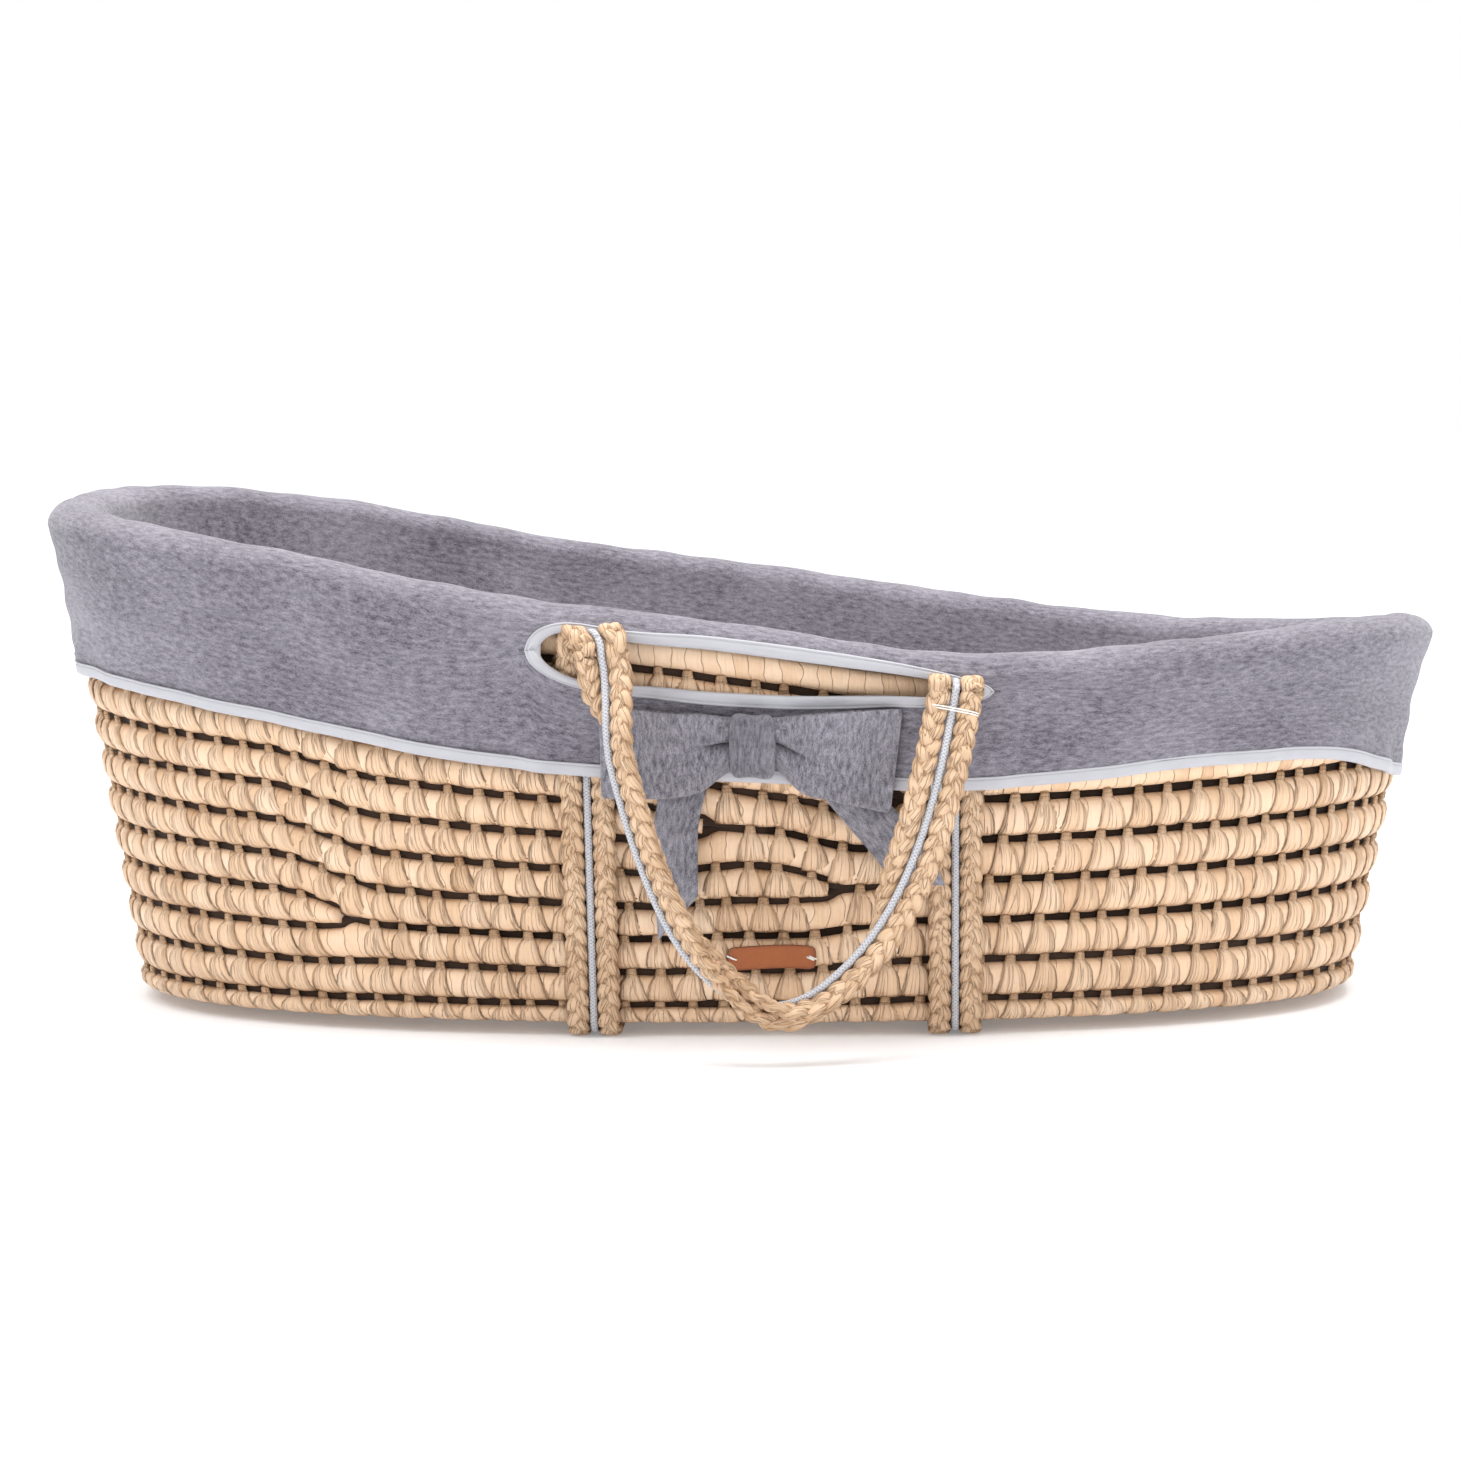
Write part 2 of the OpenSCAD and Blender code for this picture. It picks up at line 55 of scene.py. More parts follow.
# ---- the basket's own shape, as the frame has it ----
skirtBox = cadBox("cover_skirt")
firstRow = cadBox("coil_row_01")
headStrapBox = cadBox("head_strap_cord")
footStrapBox = cadBox("foot_strap_cord")
basket = dict(
    rimHalfL=skirtBox[1][0] - 1,
    rimHalfW=237.0,
    baseHalfL=firstRow[1][0] - 2,
    baseHalfW=178.0,
    widestX=20.0,
    floorGap=6.0,  # underside of the lowest row
    coilThick=17.0,
    coverOut=6.0,  # how far the cover stands outside the coil at the rim
    foldLift=12.0,
    rimHeights=(306, 289, 263, 245, 226, 222, 228),  # from the head to the foot
    rimLean=(-8, -6, -4, -3, -3, 8, 19),  # extra height of the front edge
    skirtDepths=(97.5, 98, 98.3, 97.6, 96, 93, 88, 80.5, 75, 72.8, 71.8, 78, 97),  # from the head to the foot
    skirtGap=3.2,
    headStrapX=(headStrapBox[0][0] + headStrapBox[1][0]) / 2,
    footStrapX=(footStrapBox[0][0] + footStrapBox[1][0]) / 2,
)
allRound = 2000
rowEnds = [allRound, allRound, allRound, -240, allRound, 60, allRound, -15, allRound, 90, allRound,
           allRound, allRound]
rowNodes = ["coil_row_01", "coil_row_02", "coil_row_03", "short_row_low", "coil_row_04", "short_row_middle",
            "coil_row_05", "short_row_high", "coil_row_06", "short_row_top", "coil_row_07", "coil_row_08", "rim_coil"]


def mix(a, b, t):
    return a + (b - a) * t


def smooth(t):
    # 3t^2 - 2t^3 between 0 and 1
    u = np.clip(t, 0, 1)
    return u * u * (3 - 2 * u)


def through(values, t):
    # smooth curve through equally spaced values, t from 0 to 1: a cubic on each stretch with its
    # neighbours' slopes
    v = np.asarray(values, float)
    n = len(v) - 1
    s = np.clip(t, 0, 1) * n
    i = np.minimum(np.floor(s).astype(int), n - 1)
    u = s - i
    a, b, c, d = v[np.maximum(i - 1, 0)], v[i], v[i + 1], v[np.minimum(i + 2, n)]
    return 0.5 * (2 * b + (c - a) * u + (2 * a - 5 * b + 4 * c - d) * u**2 + (3 * b - a - 3 * c + d) * u**3)


def rimZ(x, y):
    # height of the fold: the side profile plus a lean that grows with y
    t = (x + basket["rimHalfL"]) / (2 * basket["rimHalfL"])
    return through(basket["rimHeights"], t) - through(basket["rimLean"], t) * y / basket["rimHalfW"]


def egg(f, a, off=0):
    # superellipse |x/l|^p + |y/w|^p = 1 whose size and power go from the base (f = 0) to the rim (f = 1)
    c, s = np.cos(a), np.sin(a)
    p = np.where(c < 0, mix(2.4, 2.5, f), mix(2.4, 1.9, f))
    middle = basket["widestX"] * f
    r = (np.abs(c) ** p + np.abs(s) ** p) ** (-1 / p)
    halfL = mix(basket["baseHalfL"], basket["rimHalfL"] - basket["coverOut"], f) + off + np.where(c < 0, middle, -middle)
    halfW = mix(basket["baseHalfW"], basket["rimHalfW"] - basket["coverOut"], f) + off
    return middle + halfL * c * r, halfW * s * r


def wallY(x, f):
    # half width of the coil's outer face at x, the same superellipse solved for y
    middle = basket["widestX"] * f
    p = np.where(x < middle, mix(2.4, 2.5, f), mix(2.4, 1.9, f))
    halfL = mix(basket["baseHalfL"], basket["rimHalfL"] - basket["coverOut"], f) + np.where(x < middle,
                                                                                            middle, -middle)
    u = np.clip(np.abs(x - middle) / halfL, 0, 1)
    return mix(basket["baseHalfW"], basket["rimHalfW"] - basket["coverOut"], f) * (1 - u**p) ** (1 / p)


def coilTop(a):
    return rimZ(*egg(1.0, a)) - basket["foldLift"]


def wallF(x, side, z):
    # height fraction of a point on the wall
    top = rimZ(x, side * basket["rimHalfW"]) - basket["foldLift"]
    return np.clip((z - basket["floorGap"]) / (top - basket["floorGap"]), 0, 1)


def rowWeight(k, x):
    # the lowest row is pressed flatter than the others
    return (0.62 if k == 0 else 1.0) * smooth((rowEnds[k] + 34 - x) / 70)


def rowEdge(k, a):
    # height of the line below row k: each row takes a share of the wall, and short rows fade out past their
    # ends
    x = egg(0.6, a)[0]
    below = sum((rowWeight(i, x) for i in range(k)), np.zeros_like(x))
    return mix(basket["floorGap"], coilTop(a), below / (below + sum(rowWeight(i, x) for i in range(k, len(rowEnds)))))


def rowSpan(k, a):
    # lowest and highest line of row k: past a short row's end its neighbours close the place it leaves
    x = egg(0.6, a)[0]
    low, high = rowEdge(k, a), rowEdge(k + 1, a)
    if rowEnds[k] > 1000:
        if k > 0 and rowEnds[k - 1] < 1000:
            low = low - 0.5 * (low - rowEdge(k - 1, a)) * smooth((x - rowEnds[k - 1] - 1) / 9)
        if k < 12 and rowEnds[k + 1] < 1000:
            high = high + 0.5 * (rowEdge(k + 2, a) - high) * smooth((x - rowEnds[k + 1] - 1) / 9)
    return low, high


def wobble(seed, count, low=2, high=9):
    # smooth periodic noise on 0..1, as a function: a few sines with seeded sizes and phases
    rng = np.random.default_rng(seed)
    k = rng.integers(low, high + 1, count)
    size, shift = rng.normal(0, 1, count) / np.sqrt(count / 2), rng.uniform(0, 2 * pi, count)
    return lambda t: sum(s * np.sin(2 * pi * n * np.asarray(t) + h) for n, s, h in zip(k, size, shift))


# ---- meshes from grids ----
def gridQuads(nu, nv, wrapU=False, wrapV=False):
    # corners of every cell of a grid, as vertex numbers, and as numbers in a UV grid that doesn't wrap
    i, j = np.meshgrid(np.arange(nu - (not wrapU)), np.arange(nv - (not wrapV)), indexing="ij")
    corners = [(i, j), (i + 1, j), (i + 1, j + 1), (i, j + 1)]
    verts = np.stack([(p % nu) * nv + q % nv for p, q in corners], -1).reshape(-1, 4)
    uvs = np.stack([p * (nv + wrapV) + q for p, q in corners], -1).reshape(-1, 4)
    return verts, uvs


def tubeFaces(nu, nv, copies=1, closed=False):
    # copies of a tube of nu rings with nv points, capped unless it is closed
    verts, uvs = gridQuads(nu, nv, closed, True)
    size, uvSize = nu * nv, (nu + closed) * (nv + 1)
    steps = np.arange(copies)
    quads = (verts[None] + steps[:, None, None] * size).reshape(-1, 4)
    uvQuads = (uvs[None] + steps[:, None, None] * uvSize).reshape(-1, 4)
    caps, uvCaps = [], []
    if not closed:
        first, last = np.arange(nv), (nu - 1) * nv + np.arange(nv)[::-1]
        uvFirst, uvLast = np.arange(nv), (nu - 1) * (nv + 1) + np.arange(nv)[::-1]
        for k in range(copies):
            caps += [first + k * size, last + k * size]
            uvCaps += [uvFirst + k * uvSize, uvLast + k * uvSize]
    return quads, uvQuads, caps, uvCaps


def makeMesh(name, points, quads, uv, uvQuads, caps=(), uvCaps=(), shade=None):
    # points in millimetres; faces are turned outwards by the sign of the volume they close
    points = np.asarray(points, float).reshape(-1, 3) / 1000
    loops = np.concatenate([quads.ravel()] + [np.asarray(c) for c in caps]).astype(np.int32)
    uvLoops = np.concatenate([uvQuads.ravel()] + [np.asarray(c) for c in uvCaps]).astype(np.int32)
    sizes = np.concatenate([np.full(len(quads), 4), [len(c) for c in caps]]).astype(np.int32)
    p = points[quads] - points.mean(0)
    volume = np.einsum("ij,ij->i", np.cross(p[:, 0], p[:, 1]), p[:, 2]).sum()
    volume += np.einsum("ij,ij->i", np.cross(p[:, 0], p[:, 2]), p[:, 3]).sum()
    mesh = bpy.data.meshes.new(name)
    mesh.vertices.add(len(points))
    mesh.vertices.foreach_set("co", points.ravel())
    mesh.loops.add(len(loops))
    mesh.loops.foreach_set("vertex_index", loops)
    mesh.polygons.add(len(sizes))
    mesh.polygons.foreach_set("loop_start", np.concatenate([[0], np.cumsum(sizes)[:-1]]).astype(np.int32))
    mesh.polygons.foreach_set("use_smooth", np.ones(len(sizes), bool))
    layer = mesh.uv_layers.new(name="UVMap")
    layer.data.foreach_set("uv", np.asarray(uv, float).reshape(-1, 2)[uvLoops].ravel())
    if shade is not None:
        tone = mesh.attributes.new("tone", "FLOAT", "POINT")
        tone.data.foreach_set("value", np.asarray(shade, np.float32).ravel())
    mesh.update()
    mesh.validate()
    if volume < 0:
        mesh.flip_normals()
    return mesh


def makePiece(name, body, material, nodes, mesh):
    piece = bpy.data.objects.new(name, mesh)
    bpy.context.scene.collection.objects.link(piece)
    mesh.materials.append(material)
    if nodes:
        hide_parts(*nodes)
    if body:
        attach(piece, body)
    return piece


def lengthAlong(path):
    return np.concatenate([[0], np.cumsum(np.linalg.norm(np.diff(path, axis=0), axis=1))])


def resample(path, step):
    # the same line with even steps of about the given length; returns points and the distance of each
    s = lengthAlong(path)
    n = max(int(round(s[-1] / step)), 2)
    even = np.linspace(0, s[-1], n + 1)
    return np.stack([np.interp(even, s, path[:, k]) for k in range(3)], 1), even


def unit(v):
    return v / np.maximum(np.linalg.norm(v, axis=-1, keepdims=True), 1e-9)


def eased(v, passes):
    # repeated three-point average along the first axis, ends kept
    v = v.copy()
    for _ in range(passes):
        v[1:-1] = (v[:-2] + 2 * v[1:-1] + v[2:]) / 4
    return v


# ---- shader nodes ----
class Shader:
    # a material under construction: helpers add nodes and return their outputs
    def __init__(self, name, tree=None):
        if tree is None:
            self.material = bpy.data.materials.new(name)
            self.material.use_nodes = True
            self.tree = self.material.node_tree
            self.tree.nodes.clear()
        else:
            self.tree = tree

    def node(self, kind, inputs=(), **settings):
        n = self.tree.nodes.new(kind)
        for key, value in settings.items():
            setattr(n, key, value)
        for key, value in dict(inputs).items():
            self.put(n.inputs[key], value)
        return n

    def put(self, socket, value):
        if isinstance(value, bpy.types.NodeSocket):
            self.tree.links.new(value, socket)
        else:
            socket.default_value = value

    def math(self, operation, a, b=0.0, c=0.0):
        return self.node("ShaderNodeMath", {0: a, 1: b, 2: c}, operation=operation).outputs[0]

    def ramp(self, value, stops):
        n = self.node("ShaderNodeValToRGB", {0: value})
        e = n.color_ramp.elements
        while len(e) < len(stops):
            e.new(0.5)
        for point, (place, colour) in zip(e, stops):
            point.position = place
            point.color = (*colour, 1) if hasattr(colour, "__len__") else (colour, colour, colour, 1)
        return n.outputs[0]

    def mixColour(self, factor, a, b, blend="MIX"):
        n = self.node("ShaderNodeMix", data_type="RGBA", blend_type=blend)
        for key, value in ((0, factor), (6, a), (7, b)):
            if isinstance(value, bpy.types.NodeSocket):
                self.tree.links.new(value, n.inputs[key])
            else:
                n.inputs[key].default_value = (*value, 1) if hasattr(value, "__len__") else value
        return n.outputs[2]

    def uv(self, scale=(1, 1, 1), shift=(0, 0, 0)):
        place = self.node("ShaderNodeUVMap", uv_map="UVMap").outputs[0]
        return self.node("ShaderNodeMapping", {0: place, 1: shift, 3: scale}).outputs[0]

    def objectPlace(self, scale=(1, 1, 1)):
        place = self.node("ShaderNodeTexCoord").outputs["Object"]
        return self.node("ShaderNodeMapping", {0: place, 3: scale}).outputs[0]

    def noise(self, place, scale, detail=2.0, rough=0.5, warp=0.0):
        n = self.node("ShaderNodeTexNoise", {"Vector": place, "Scale": scale, "Detail": detail,
                                             "Roughness": rough,
                                             "Distortion": warp})
        return n.outputs["Fac"]

    def group(self, tree, **values):
        n = self.node("ShaderNodeGroup", node_tree=tree)
        for key, value in values.items():
            self.put(n.inputs[key], (*value, 1) if isinstance(value, tuple) and len(value) == 3 and
                     n.inputs[key].type == "RGBA" else value)
        return n.outputs

    def finish(self, colour, roughness, height=None, depth=0.0005, bump=1.0, **sockets):
        shader = self.node("ShaderNodeBsdfPrincipled")
        self.put(shader.inputs["Base Color"], colour)
        self.put(shader.inputs["Roughness"], roughness)
        for key, value in sockets.items():
            self.put(shader.inputs[key.replace("_", " ")], value)
        if height is not None:
            n = self.node("ShaderNodeBump", {"Strength": bump, "Distance": depth, "Height": height})
            self.tree.links.new(n.outputs[0], shader.inputs["Normal"])
        out = self.node("ShaderNodeOutputMaterial")
        self.tree.links.new(shader.outputs[0], out.inputs[0])
        return self.material


def newGroup(name, inputs, outputs):
    tree = bpy.data.node_groups.new(name, "ShaderNodeTree")
    for label, kind, value in inputs:
        tree.interface.new_socket(label, in_out="INPUT", socket_type=kind).default_value = value
    for label, kind in outputs:
        tree.interface.new_socket(label, in_out="OUTPUT", socket_type=kind)
    s = Shader(name, tree)
    return s, s.node("NodeGroupInput").outputs, s.node("NodeGroupOutput").inputs


def leafGroup():
    # dried leaf: fine strands across UV u, slow blotches in space, darker specks; puts out colour, height,
    # roughness
    s, i, o = newGroup("driedLeaf", [
        ("Tone", "NodeSocketFloat", 0.5), ("Strands", "NodeSocketFloat", 10.0), ("Along", "NodeSocketFloat",
                                                                                 1.0),
        ("Pale", "NodeSocketColor", (1, 1, 1, 1)), ("Mid", "NodeSocketColor", (0.5, 0.5, 0.5, 1)),
        ("Dark", "NodeSocketColor", (0, 0, 0, 1))],
        [("Colour", "NodeSocketColor"), ("Height", "NodeSocketFloat"), ("Roughness", "NodeSocketFloat")])
    uv = s.node("ShaderNodeUVMap", uv_map="UVMap").outputs[0]
    parts = s.node("ShaderNodeSeparateXYZ", {0: uv})
    across = s.math("MULTIPLY", parts.outputs[0], i["Strands"])
    along = s.math("MULTIPLY", parts.outputs[1], i["Along"])
    place = s.node("ShaderNodeCombineXYZ", {0: across, 1: along}).outputs[0]
    strands = s.noise(place, 1.0, 4.0, 0.65)
    blotch = s.noise(s.objectPlace(), 55.0, 3.0, 0.6)
    fine, broad = s.math("MULTIPLY_ADD", strands, 0.55, -0.27), s.math("MULTIPLY_ADD", blotch, 0.5, -0.25)
    level = s.math("ADD", fine, broad)
    level = s.math("ADD", level, i["Tone"])
    low = s.node("ShaderNodeMapRange", {0: level, 1: 0.0, 2: 0.5}).outputs[0]
    high = s.node("ShaderNodeMapRange", {0: level, 1: 0.5, 2: 1.0}).outputs[0]
    colour = s.mixColour(high, s.mixColour(low, i["Dark"], i["Mid"]), i["Pale"])
    s.put(o["Colour"], colour)
    s.put(o["Height"], s.math("MULTIPLY_ADD", blotch, 0.3, strands))
    s.put(o["Roughness"], s.math("MULTIPLY_ADD", strands, 0.25, 0.42))
    return s.tree


def heatherGroup():
    # heather jersey: short streaks that run along u, fine knit ribs, soft pilling; u and v are in metres
    s, i, o = newGroup("heatherKnit", [
        ("Light", "NodeSocketColor", (1, 1, 1, 1)), ("Dark", "NodeSocketColor", (0, 0, 0, 1)),
        ("Contrast", "NodeSocketFloat", 1.0)],
        [("Colour", "NodeSocketColor"), ("Height", "NodeSocketFloat")])
    streaks = s.noise(s.uv((620, 1900, 1)), 1.0, 4.0, 0.8)
    longStreaks = s.noise(s.uv((150, 430, 1)), 1.0, 3.0, 0.65)
    cloud = s.noise(s.uv((14, 20, 1)), 1.0, 2.0, 0.5)
    short, long = s.math("MULTIPLY_ADD", streaks, 0.62, -0.31), s.math("MULTIPLY_ADD", longStreaks, 0.55,
                                                                       -0.27)
    mixed = s.math("ADD", short, long)
    mixed = s.math("ADD", mixed, s.math("MULTIPLY_ADD", cloud, 0.25, -0.125))
    level = s.math("MULTIPLY_ADD", mixed, i["Contrast"], 0.5)
    spread = s.node("ShaderNodeMapRange", {0: level, 1: 0.12, 2: 0.88}).outputs[0]
    s.put(o["Colour"], s.mixColour(spread, i["Dark"], i["Light"]))
    ribs = s.math("SINE", s.node("ShaderNodeSeparateXYZ", {0: s.uv((4200, 1, 1))}).outputs[0])
    s.put(o["Height"], s.math("ADD", s.math("MULTIPLY", ribs, 0.12), streaks))
    return s.tree


leafTree = leafGroup()
heatherTree = heatherGroup()
leafColours = dict(Pale=(0.87, 0.67, 0.49), Mid=(0.75, 0.515, 0.335), Dark=(0.46, 0.26, 0.13))
# painted shade: the plaits get a darker copy of the leaf colours, to take back the extra light the top lamp puts on
# them
plaitShadedColours = dict(Pale=(0.78, 0.60, 0.44), Mid=(0.66, 0.46, 0.30), Dark=(0.40, 0.225, 0.11))


def coilMaterial():
    # leaf strips wrapped round a coil: UV u counts the strips, v goes round the coil
    s = Shader("wrappedLeaf")
    parts = s.node("ShaderNodeSeparateXYZ", {0: s.uv()})
    warp = s.noise(s.objectPlace(), 38.0, 2.0, 0.6)
    u = s.math("ADD", parts.outputs[0], s.math("MULTIPLY_ADD", warp, 1.5, -0.75))
    strip = s.math("FLOOR", u)
    random = s.node("ShaderNodeTexWhiteNoise", {"W": strip}, noise_dimensions="1D").outputs["Value"]
    part = s.math("FRACT", u)
    edge = s.math("MINIMUM", part, s.math("SUBTRACT", 1.0, part))
    depth = s.math("MULTIPLY_ADD", s.noise(s.objectPlace(), 210.0, 2.0, 0.5), 0.09, -0.012)
    groove = s.node("ShaderNodeMapRange", {0: edge, 1: 0.0, 2: s.math("MAXIMUM", depth, 0.008)}).outputs[0]
    painted = s.node("ShaderNodeAttribute", attribute_name="tone").outputs["Fac"]
    tone = s.math("ADD", s.math("MULTIPLY_ADD", random, 0.36, 0.40), painted)
    leaf = s.group(leafTree, Tone=tone, Strands=9.0, Along=3.0, **leafColours)
    # painted shade: the colour turns deep brown in the groove at each strip's edge
    colour = s.mixColour(s.math("MULTIPLY_ADD", groove, -0.62, 0.62), leaf["Colour"], (0.33, 0.15, 0.07))
    height = s.math("ADD", s.math("MULTIPLY", leaf["Height"], 0.6), s.math("MULTIPLY", groove, 0.55))
    height = s.math("MULTIPLY_ADD", part, 0.5, height)
    return s.finish(colour, leaf["Roughness"], height, 0.0010, 0.9, Specular_IOR_Level=0.35)


def tieMaterial():
    # a tie: strands fan out with u, and its neck (small v) has thread-like turns across
    s = Shader("leafTie")
    parts = s.node("ShaderNodeSeparateXYZ", {0: s.uv()})
    neck = s.node("ShaderNodeMapRange", {0: parts.outputs[1], 1: 0.36, 2: 0.22}).outputs[0]
    turns = s.math("SINE", s.math("MULTIPLY", parts.outputs[1], 75.0))
    tone = s.math("ADD", 0.53, s.node("ShaderNodeAttribute", attribute_name="tone").outputs["Fac"])
    leaf = s.group(leafTree, Tone=tone, Strands=9.0, Along=0.7, **leafColours)
    # sharp creases between the strands of the fan; painted shade darkens the colour in them
    across, along = s.math("MULTIPLY", parts.outputs[0], 7.0), s.math("MULTIPLY", parts.outputs[1], 0.8)
    place = s.node("ShaderNodeCombineXYZ", {0: across, 1: along}).outputs[0]
    ridge = s.math("ABSOLUTE", s.math("MULTIPLY_ADD", s.noise(place, 1.0, 1.0, 0.4), 2.0, -1.0))
    crease = s.node("ShaderNodeMapRange", {0: ridge, 1: 0.055, 2: 0.0}).outputs[0]
    height = s.math("MULTIPLY_ADD", s.math("MULTIPLY", turns, neck), 0.3, leaf["Height"])
    height = s.math("MULTIPLY_ADD", crease, -0.6, height)
    # painted shade: the neck, sunk in the recess between rows, is darkened towards brown
    colour = s.mixColour(s.math("MULTIPLY", neck, 0.22), leaf["Colour"], (0.42, 0.24, 0.11))
    colour = s.mixColour(s.math("MULTIPLY", crease, 0.32), colour, (0.42, 0.22, 0.11))
    return s.finish(colour, leaf["Roughness"], height, 0.0014, 1.0, Specular_IOR_Level=0.35)


def plaitMaterial():
    s = Shader("plaitedLeaf")
    tone = s.math("ADD", 0.36, s.node("ShaderNodeAttribute", attribute_name="tone").outputs["Fac"])
    leaf = s.group(leafTree, Tone=tone, Strands=11.0, Along=2.2, **plaitShadedColours)
    unwrapped = s.node("ShaderNodeUVMap", uv_map="UVMap").outputs[0]
    place = s.node("ShaderNodeMapping", {0: unwrapped, 3: (10, 2.6, 1)}).outputs[0]
    ridge = s.math("ABSOLUTE", s.math("MULTIPLY_ADD", s.noise(place, 1.0, 1.0, 0.4), 2.0, -1.0))
    crease = s.node("ShaderNodeMapRange", {0: ridge, 1: 0.07, 2: 0.0}).outputs[0]
    # painted shade: the colour darkens in the creases between the plait's strands
    colour = s.mixColour(s.math("MULTIPLY", crease, 0.5), leaf["Colour"], (0.34, 0.17, 0.08))
    height = s.math("MULTIPLY_ADD", crease, -0.6, leaf["Height"])
    return s.finish(colour, leaf["Roughness"], height, 0.0013, 1.0, Specular_IOR_Level=0.35)


def jerseyMaterial(name, light, dark, contrast=1.0):
    s = Shader(name)
    knit = s.group(heatherTree, Light=light, Dark=dark, Contrast=contrast)
    return s.finish(knit["Colour"], 0.93, knit["Height"], 0.0004, 0.55, Specular_IOR_Level=0.15,
                    Sheen_Weight=0.25,
                    Sheen_Roughness=0.5)


def tapeMaterial():
    # bias tape: a fine twill over u and v in metres
    s = Shader("bindingTape")
    weave = s.noise(s.uv((1800, 1800, 1)), 1.0, 2.0, 0.5)
    patch = s.noise(s.uv((60, 200, 1)), 1.0, 2.0, 0.5)
    level = s.math("MULTIPLY_ADD", weave, 0.5, s.math("MULTIPLY", patch, 0.5))
    colour = s.mixColour(level, (0.37, 0.365, 0.39), (0.52, 0.515, 0.545))
    return s.finish(colour, 0.8, weave, 0.0003, 0.4, Specular_IOR_Level=0.25, Sheen_Weight=0.15)


def cordMaterial():
    # braided cord: two crossing sets of strands round it
    s = Shader("braidedCord")
    parts = s.node("ShaderNodeSeparateXYZ", {0: s.uv()})
    along, round_ = s.math("MULTIPLY", parts.outputs[1], 3000.0), s.math("MULTIPLY", parts.outputs[0],
                                                                         2 * pi * 4)
    left = s.math("SINE", s.math("ADD", along, round_))
    right = s.math("SINE", s.math("SUBTRACT", along, round_))
    braid = s.math("MULTIPLY_ADD", s.math("MAXIMUM", left, right), 0.5, 0.5)
    # painted shade: the colour follows the braid's relief, darker between the raised strands
    colour = s.mixColour(braid, (0.32, 0.325, 0.35), (0.56, 0.56, 0.59))
    return s.finish(colour, 0.75, braid, 0.0006, 0.8, Specular_IOR_Level=0.3)


def leatherMaterial():
    s = Shader("tanLeather")
    place = s.objectPlace()
    grain = s.node("ShaderNodeTexVoronoi", {"Vector": place, "Scale": 900.0}).outputs["Distance"]
    cloud = s.noise(place, 90.0, 3.0, 0.6)
    edgeDarkness = s.node("ShaderNodeAttribute", attribute_name="tone").outputs["Fac"]
    colour = s.mixColour(cloud, (0.27, 0.068, 0.014), (0.38, 0.112, 0.028))
    # darker towards the patch's edges and all over its back
    colour = s.mixColour(s.math("MULTIPLY", edgeDarkness, 0.8), colour, (0.14, 0.035, 0.012))
    return s.finish(colour, s.math("MULTIPLY_ADD", cloud, 0.2, 0.4), grain, 0.0004, 0.5,
                    Specular_IOR_Level=0.45)


def threadMaterial():
    s = Shader("whiteThread")
    twist = s.math("SINE", s.math("MULTIPLY", s.node("ShaderNodeSeparateXYZ", {0: s.uv()}).outputs[1], 60.0))
    colour = s.mixColour(s.math("MULTIPLY_ADD", twist, 0.25, 0.6), (0.70, 0.67, 0.60), (0.92, 0.90, 0.85))
    return s.finish(colour, 0.7, twist, 0.0003, 0.6, Specular_IOR_Level=0.3)


def clothMaterial(name, light, dark):
    # plain woven cotton or felt
    s = Shader(name)
    weave = s.noise(s.objectPlace(), 900.0, 2.0, 0.5)
    cloud = s.noise(s.objectPlace(), 25.0, 3.0, 0.5)
    colour = s.mixColour(s.math("MULTIPLY_ADD", weave, 0.6, s.math("MULTIPLY", cloud, 0.4)), dark, light)
    return s.finish(colour, 0.9, weave, 0.0004, 0.5, Specular_IOR_Level=0.2, Sheen_Weight=0.2)


coilLeaf, tieLeaf, plaitLeaf = coilMaterial(), tieMaterial(), plaitMaterial()
jersey = jerseyMaterial("heatherJersey", (0.30, 0.283, 0.322), (0.06, 0.052, 0.068), 2.4)
tape, cordWeave, leather, thread = tapeMaterial(), cordMaterial(), leatherMaterial(), threadMaterial()
# painted shade: near-black cloth for the tubes in the recesses between rows
recessShadeMaterial = clothMaterial("recessShadeCloth", (0.05, 0.028, 0.017), (0.02, 0.011, 0.007))
cotton = clothMaterial("whiteCotton", (0.46, 0.457, 0.445), (0.34, 0.338, 0.328))
print("materials made")

# ---- camera, light and floor ----
view = dict(distance=2356.0, turn=np.radians(2.25), height=403.0, down=np.radians(5.92), roll=0.008,
            lens=94.8, shiftX=-0.0092)


def placeCamera():
    data = bpy.data.cameras.new("camera")
    data.lens, data.sensor_width, data.shift_x = view["lens"], 36, view["shiftX"]
    data.clip_start, data.clip_end = 0.05, 50
    camera = bpy.data.objects.new("camera", data)
    bpy.context.scene.collection.objects.link(camera)
    turn, down, roll = view["turn"], view["down"], -view["roll"]
    forward = np.array([-np.sin(turn) * np.cos(down), np.cos(turn) * np.cos(down), -np.sin(down)])
    right = np.array([np.cos(turn), np.sin(turn), 0])
    up = np.cross(right, forward)
    rolledRight = right * np.cos(roll) + up * np.sin(roll)
    rolledUp = up * np.cos(roll) - right * np.sin(roll)
    turned = Matrix(np.stack([rolledRight, rolledUp, -forward], 1).tolist()).to_4x4()
    place = (view["distance"] * np.sin(turn) / 1000, -view["distance"] * np.cos(turn) / 1000,
             view["height"] / 1000)
    camera.matrix_world = Matrix.Translation(place) @ turned
    bpy.context.scene.camera = camera


def areaLight(name, place, target, size, power, colour=(1, 1, 1)):
    data = bpy.data.lights.new(name, "AREA")
    data.shape, data.size, data.energy, data.color = "DISK", size, power, colour
    lamp = bpy.data.objects.new(name, data)
    bpy.context.scene.collection.objects.link(lamp)
    back = (Matrix.Translation(place).translation - Matrix.Translation(target).translation).normalized()
    lamp.matrix_world = Matrix.Translation(place) @ back.to_track_quat("Z", "Y").to_matrix().to_4x4()


